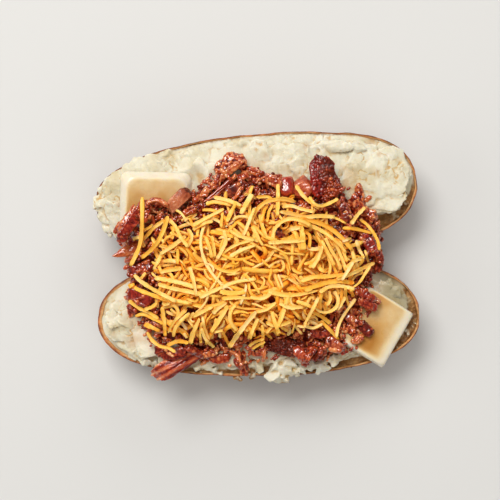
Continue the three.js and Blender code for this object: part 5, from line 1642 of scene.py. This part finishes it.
def cheese_core():
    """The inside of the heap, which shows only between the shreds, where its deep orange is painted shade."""
    N, M = 170, 46
    t = 2 * math.pi * np.arange(N) / N
    cx, cy = at_px(252, 274, 46)
    ax, ay = np.where(np.cos(t) < 0, 98, 112) * 0.537 * 0.84, np.where(np.sin(t) > 0, 48, 64) * 0.537 * 0.84

    def ring(f, z):
        x, y = cx + ax * f * np.cos(t), cy + ay * f * np.sin(t)
        return np.stack([x, y, z(x, y, f)], 1)

    def top(x, y, f):
        p = np.stack([x, y, 0 * x], 1)
        lumps = 0.75 * fbm(p, 4.0, 2, 0.6, 301) + 0.4 * (0.5 - np.abs(fbm(p, (6, 2, 2), 2, 0.5, 302)))
        return beef_top(x, y) + 0.35 * (crown(CHEESE, rho(CHEESE, x, y)) - 0.8) - 1.6 - 2.6 * smooth(0.72, 1.0, f) + lumps - 4.0 * gap(x, y)

    low = lambda x, y, f: beef_top(x, y) - 5.0
    rings = [ring(f, low) for f in (0.02, 0.5, 0.96)] + [ring(f, top) for f in 1 - np.linspace(0, 0.985, M) ** 1.2]
    V, Q = ring_grid(np.array(rings))
    i, last = np.arange(N), len(V) - N
    T = np.concatenate([np.stack([0 * i + len(V), (i + 1) % N, i], 1), np.stack([0 * i + len(V) + 1, i + last, (i + 1) % N + last], 1)])
    return np.concatenate([V, [V[:N].mean(0), V[last:].mean(0)]]), Q, T


def cheese_set(H):
    r = np.random.default_rng(95)
    coreV, coreQ, coreT = cheese_core()
    H.look(mesh_from("core", coreV, coreQ, coreT))
    S = len(SECTION)
    made = []
    reach = [0.0]

    def shred(xy, half, thick, tn, stiff=16, flat=False):
        K = len(xy)
        p = r.random()
        base = 0.0 if flat or p < 0.5 else (math.pi if p < 0.82 else math.pi / 2 * r.choice([-1, 1]))
        twist = r.normal(0, 0.3 if flat else 0.75)
        roll = base + r.normal(0, 0.22) + np.linspace(-0.5, 0.5, K) * twist
        ew = np.abs(half * np.cos(roll)) + np.abs(thick * np.sin(roll))
        et = np.abs(thick * np.cos(roll)) + np.abs(half * np.sin(roll))
        z = lay(H, xy, float(ew.mean()), float(et.mean()), stiff, 0.03 * 18 / K, 0.14)
        top = z + et
        z = np.where(top > 57.4, 57.4 + 2.6 * (1 - np.exp(-(top - 57.4) / 2.6)), top) - et
        e = np.abs(np.linspace(-1, 1, K))
        prof = 1 - 0.4 * np.clip((e - 0.88) / 0.12, 0, 1) ** 1.5 + 0.09 * r.normal(size=K)
        if r.random() < 0.35:
            prof = prof * np.interp(np.linspace(0, 1, K), [0, 0.4, 1], [1, 1, 0.5 + 0.4 * r.random()])
        C = np.column_stack([xy, z])
        made.append((C, half * prof, thick * prof, roll, tn))
        m = int(K * 2.4)
        fx, fy, fz, fw = (np.interp(np.linspace(0, K - 1, m), np.arange(K), q) for q in (xy[:, 0], xy[:, 1], z + et * 0.85, ew))
        H.stamp(fx, fy, fz, float(ew.mean()))
        reach[0] = max(reach[0], float((z + et).max()))

    def random_path(x, y, g, L):
        K = 6 if L < 7 else (8 if L < 12 else (12 if L < 22 else 18))
        s = np.linspace(0, 1, K)
        k0, k1 = r.normal(0, 0.8), r.normal(0, 1.1)
        if r.random() < 0.28:
            k0 = r.choice([-1, 1]) * (1.3 + 1.8 * r.random())
        th = g + k0 * (s - 0.5) + k1 * (s - 0.5) ** 2 * 2
        if r.random() < 0.14:
            th = th + r.choice([-1, 1]) * (0.6 + 0.9 * r.random()) * smooth(0.3, 0.5, s - 0.3 * r.random())
        xy = np.cumsum(np.stack([np.cos(th), np.sin(th)], 1) * (L / (K - 1)), 0)
        return xy - xy[K // 2] + [x, y]

    def shade(V, Q, t):
        """Painted shade: what lies deeper below the heap's top is coloured more orange and darker."""
        deep = np.clip(H.at(V[:, 0], V[:, 1]) - V[:, 2] - 0.8, 0, 4)
        return np.clip(t - 0.12 * deep, 0, 1)

    # Filling: a shred goes where the heap is still lower than it should be.
    for goal, tries, spread, most, fine in ((0.4, 3500, 0.93, 300, 0), (0.85, 7000, 0.9, 470, 0), (1.0, 7000, 0.92, 640, 1)):
        for _ in range(tries):
            a, q = r.random() * 2 * math.pi, math.sqrt(r.random()) * spread
            R = float(plan_radius(CHEESE, a)) * q
            x, y = CHEESE["x"] + R * math.cos(a), CHEESE["y"] + R * math.sin(a)
            L = float(np.clip(6 + 24 * r.gamma(1.8, 0.45), 5, 44)) if not fine else 7 + 11 * r.random() ** 1.5
            g = r.random() * math.pi
            if r.random() < 0.45:
                g = math.radians(-14) + r.normal(0, 0.5) if x < 0 else math.radians(-52) + r.normal(0, 0.6)
            xy = random_path(x, y, g, L)
            rh = rho(CHEESE, xy[:, 0], xy[:, 1])
            if rh.max() > 1.03 or xy[:, 1].max() > 40 or float(gap(xy[:, 0], xy[:, 1]).max()) > 0.2:
                continue
            if r.random() > thick_of_heap(x, y):
                continue
            want = np.minimum(beef_top(xy[:, 0], xy[:, 1]) + goal * (crown(CHEESE, rh) - 0.8) - 1.4, 54.8)
            if np.mean(want - H.at(xy[:, 0], xy[:, 1])) < (0.05 if fine else 0.35):
                continue
            w = 0.6 + 0.3 * r.random() if fine else 0.76 + 0.44 * r.random()
            shred(xy, w, w * 0.62 + 0.1 * r.random(), float(np.clip((0.46 if fine else 0.38) + 0.14 * r.normal(), 0.05, 1)))
            if len(made) >= most:
                break
    print("cheese filling", len(made), "highest", reach[0])
    for pts, width, tn in SHREDS:
        p = np.array([at_px(a, b, 50) for a, b in pts])
        L = np.linalg.norm(np.diff(p, axis=0), axis=1).sum()
        xy, L = spline(p, 10 if L < 9 else (14 if L < 18 else 20))
        shred(xy, width * MM_PX / 2 * 0.88, 0.50 + 0.16 * r.random(), 0.10 + 0.62 * tn, 20, True)
    print("cheese shreds", len(made), "highest", reach[0])
    pile, sec = Pile(), []
    # Painted shade: the core is coloured a deep orange, darker the lower it lies.
    lows = beef_top(coreV[:, 0], coreV[:, 1])
    pile.put(coreV, tris=coreT, quads=coreQ, tone=0.10 + 0.05 * np.clip(coreV[:, 2] - lows, 0, 4), sco=coreV * 0.8)
    sec.append(np.full(len(coreV), -1))
    for K in sorted({len(m[0]) for m in made}):
        part = [m for m in made if len(m[0]) == K]
        C, W, T, roll = (np.array([m[k] for m in part]) for k in range(4))
        V, Q, F = ribbons(C, W, T, roll)
        V = V + 0.10 * np.stack([fbm(V, 1.5, 2, 0.6, 190 + k) for k in range(3)], 1)
        s = np.tile(np.repeat(np.arange(K), S), len(part)) * 0.2 * 20 / K
        ph = np.tile(np.arange(S), len(part) * K) * 2 * math.pi / S
        o = np.repeat(r.random(len(part)) * 90, K * S)
        pile.put(V, tris=F, quads=Q, tone=shade(V, Q, np.repeat([m[4] for m in part], K * S)), sco=np.stack([s + o, 1.3 * np.cos(ph) + o, 1.3 * np.sin(ph)], 1))
        sec.append(np.tile(np.arange(S), len(part) * K))
    me = pile.mesh("cheese_shreds")
    sec, E = np.concatenate(sec), edges_of(me)
    along = (sec[E[:, 0]] == sec[E[:, 1]]) & np.isin(sec[E[:, 0]], CORNERS)
    a = me.attributes.new("sharp_edge", "BOOLEAN", "EDGE")
    a.data.foreach_set("value", along)
    # Painted light: the faces that look up are painted paler than the sides.
    nz = np.empty(len(me.polygons) * 3, np.float32)
    me.polygons.foreach_get("normal", nz)
    a = me.attributes.new("up", "FLOAT", "FACE")
    a.data.foreach_set("value", np.clip(nz.reshape(-1, 3)[:, 2], 0, 1))
    return me


# ------------------------------------------------------------------ assembly
skins = {k: skin(h, k) for k, h in (("back", BACK), ("front", FRONT))}
fleshes = {k: flesh(h, k) for k, h in (("back", BACK), ("front", FRONT))}
for k in ("back", "front"):
    add("potato_skin_" + k, skins[k], SKIN, "potato", "potato_half_" + k)
    add("potato_flesh_" + k, fleshes[k], FLESH, "potato", "potato_half_" + k)

# Each face is painted tan, partly melted butter's own colour and partly painted shade: on the left pat darker towards
# one edge, on the right pat in a band, with the edges left cream.
left = butter("butter_left", PAT_LEFT, 3.3, 4.2, lambda u, v: 0 * u, lambda u, v, f: f * (0.62 - 0.04 * u - 0.34 * v) * smooth(1.02, 0.93, u))
right = butter("butter_right", PAT_RIGHT, 1.6, 1.2, lambda u, v: -2.2 * np.clip(u, 0, 1) ** 2 - 0.6 * np.clip(-u, 0, 1) ** 2,
               lambda u, v, f: np.clip(f * 1.3, 0, 1) * (0.44 + 0.72 * np.exp(-(((u + 0.02) / 0.40) ** 2)) * smooth(0.5, -0.6, v) + 0.3 * np.exp(-(((u + 0.5) / 0.4) ** 2)) * smooth(0.1, 0.9, v)) * smooth(0.82, 0.5, u) * smooth(-0.98, -0.7, v))
add("butter_left", left, BUTTER, "butter", "butter_pat_left")
add("butter_right", right, BUTTER, "butter", "butter_pat_right")

base = beef_base()
blocks = {
    "bark_piece_back": piece("bark_back", CHUNKS["bark_piece_back"], ("x", (-1, -0.5, -0.15, 0.3, 0.7, 1), (0.36, 0.26, 0.15, 0.08, 0.02, 0.0)), 6, 26, 0.75, 0.55, 0.9, 0.5, ("x", (-1, -0.45, -0.1), (0.95, 0.8, 0.2)), ((-0.35, 0.95, 0.4), (-0.4, 1.6, 0.4), (0.25, 0.35, 0.9)), 0.0, None, 4, ("x", (-0.4, 0.1), (0.0, 0.5)), 0.3),
    "slab_piece_back": piece("slab_back", CHUNKS["slab_piece_back"], ("x", (-1, -0.6, 0.5, 1), (0.22, 0.46, 0.5, 0.24)), 5, 22, 0.45, 0.6, 0.6, 0.6, 0.45, None, 0.0, None, 8, 0.2, 0.16),
    "glazed_piece_back": piece("glazed_back", dict(CHUNKS["glazed_piece_back"], roll=-13, lean=-11), 0.42, 5, 11, 0.14, 0.1, 0.3, 1.0, 0.85),
    "slice_piece_left": piece("slice_left", dict(CHUNKS["slice_piece_left"], rx=7.6, ry=3.5), ("x", (-1, 0.2, 0.75, 1), (0.6, 0.56, 0.34, 0.14)), 5, 16, 0.25, 0.4, 0.5, 0.12, 0.0, None, 0.0, None, 9, 0.85),
    "wedge_piece_left": piece("wedge_left", CHUNKS["wedge_piece_left"], 0.50, 5, 9, 0.25, 0.35, 0.1, 0.8, 0.15, None, 0.0, (-1.05, 0.1, 0.34)),
    "striped_piece_front": piece("striped_front", CHUNKS["striped_piece_front"], ("x", (-1, -0.85, -0.6, 1), (0.68, 0.56, 0.48, 0.4)), 6, 16, 0.2, 0.8, 0.9, 0.6, 0.6, None, 0.3, None, 8),
    "bark_piece_front": piece("bark_front", CHUNKS["bark_piece_front"], ("x", (-1, -0.2, 0.4, 1), (0.16, 0.05, 0.1, 0.22)), 6, 20, 0.95, 0.8, 1.0, 0.6, 0.1, None, 0.0, None, 12, 0.5, 0.22),
}
H = Heights().look(fleshes["back"], fleshes["front"], left, right, base, *blocks.values())
strips = strip_set(H)
strands = strand_set(H)
crumbs = crumb_set(H)
add("beef_mass", base, MEAT, "beef", "pulled_beef")
add("beef_strips", strips, MEAT, "beef", "pulled_beef")
add("beef_strands", strands, MEAT, "beef", "pulled_beef")
add("beef_crumbs", crumbs, MEAT, "beef", "pulled_beef")
for node, me in blocks.items():
    add(me.name, me, MEAT, "beef", node)
cheese = cheese_set(H)
add("cheese_shreds", cheese, CHEDDAR, "cheese", "shredded_cheese")

# ------------------------------------------------------------------ floor, light, camera
floor = bpy.data.objects.new("floor", mesh_from("floor", [(-3000, -3000, 0), (3000, -3000, 0), (3000, 3000, 0), (-3000, 3000, 0)], [(0, 1, 2, 3)]))
bpy.context.scene.collection.objects.link(floor)
fm = Mat("floor").set(rough=0.7, color=(0.66, 0.66, 0.655, 1))
floor.data.materials.append(fm.m)

world = bpy.data.worlds.new("studio")
bpy.context.scene.world = world
world.use_nodes = True
world.node_tree.nodes["Background"].inputs[0].default_value = (1.0, 0.98, 0.95, 1)
world.node_tree.nodes["Background"].inputs[1].default_value = 0.08


def area(name, place, target, size, watts, colour=(1, 1, 1), mirrored=True):
    d = bpy.data.lights.new(name, "AREA")
    d.shape, d.size, d.size_y, d.energy, d.color = "RECTANGLE", size[0], size[1], watts, colour
    o = bpy.data.objects.new(name, d)
    bpy.context.scene.collection.objects.link(o)
    o.location = place
    o.rotation_euler = (Vector(target) - Vector(place)).to_track_quat("-Z", "Y").to_euler()
    o.visible_glossy = mirrored
    return o


area("key", (-0.80, 1.35, 2.35), (0, 0, 0.03), (1.6, 1.3), 65.0, (1.0, 0.98, 0.94))
area("back", (0.80, 2.10, 1.30), (0, 0, 0.03), (2.2, 1.3), 17.0, (1.0, 0.98, 0.95), False)
area("left", (-2.30, -0.20, 1.35), (0, 0, 0.03), (2.2, 1.3), 15.0, (1.0, 0.98, 0.95), False)
area("fill", (0.95, -1.70, 1.60), (0, 0, 0.03), (2.6, 1.8), 16.0, (1.0, 0.96, 0.90), False)
area("top", (0.05, 0.10, 2.40), (0, 0, 0.03), (1.6, 1.6), 10.0, (1.0, 0.97, 0.92), False)

cam = bpy.data.objects.new("camera", bpy.data.cameras.new("camera"))
bpy.context.scene.collection.objects.link(cam)
cam.location = ((CAM_X - OX) / 1000, (CAM_Y - OY) / 1000, CAM_Z / 1000)
cam.data.sensor_width = 36
cam.data.lens = 36 * (CAM_Z - CUT_Z) / (500 * MM_PX)
cam.data.clip_start, cam.data.clip_end = 0.05, 20
bpy.context.scene.camera = cam
bpy.context.scene.view_settings.view_transform = "Standard"
bpy.context.scene.view_settings.look = "None"

total = 0
for ob in bpy.data.objects:
    if ob.type == "MESH" and len(ob.data.polygons) > 500:
        ob.data.calc_loop_triangles()
        total += len(ob.data.loop_triangles)
        print("triangles", ob.name, len(ob.data.loop_triangles))
print("triangles in all", total)
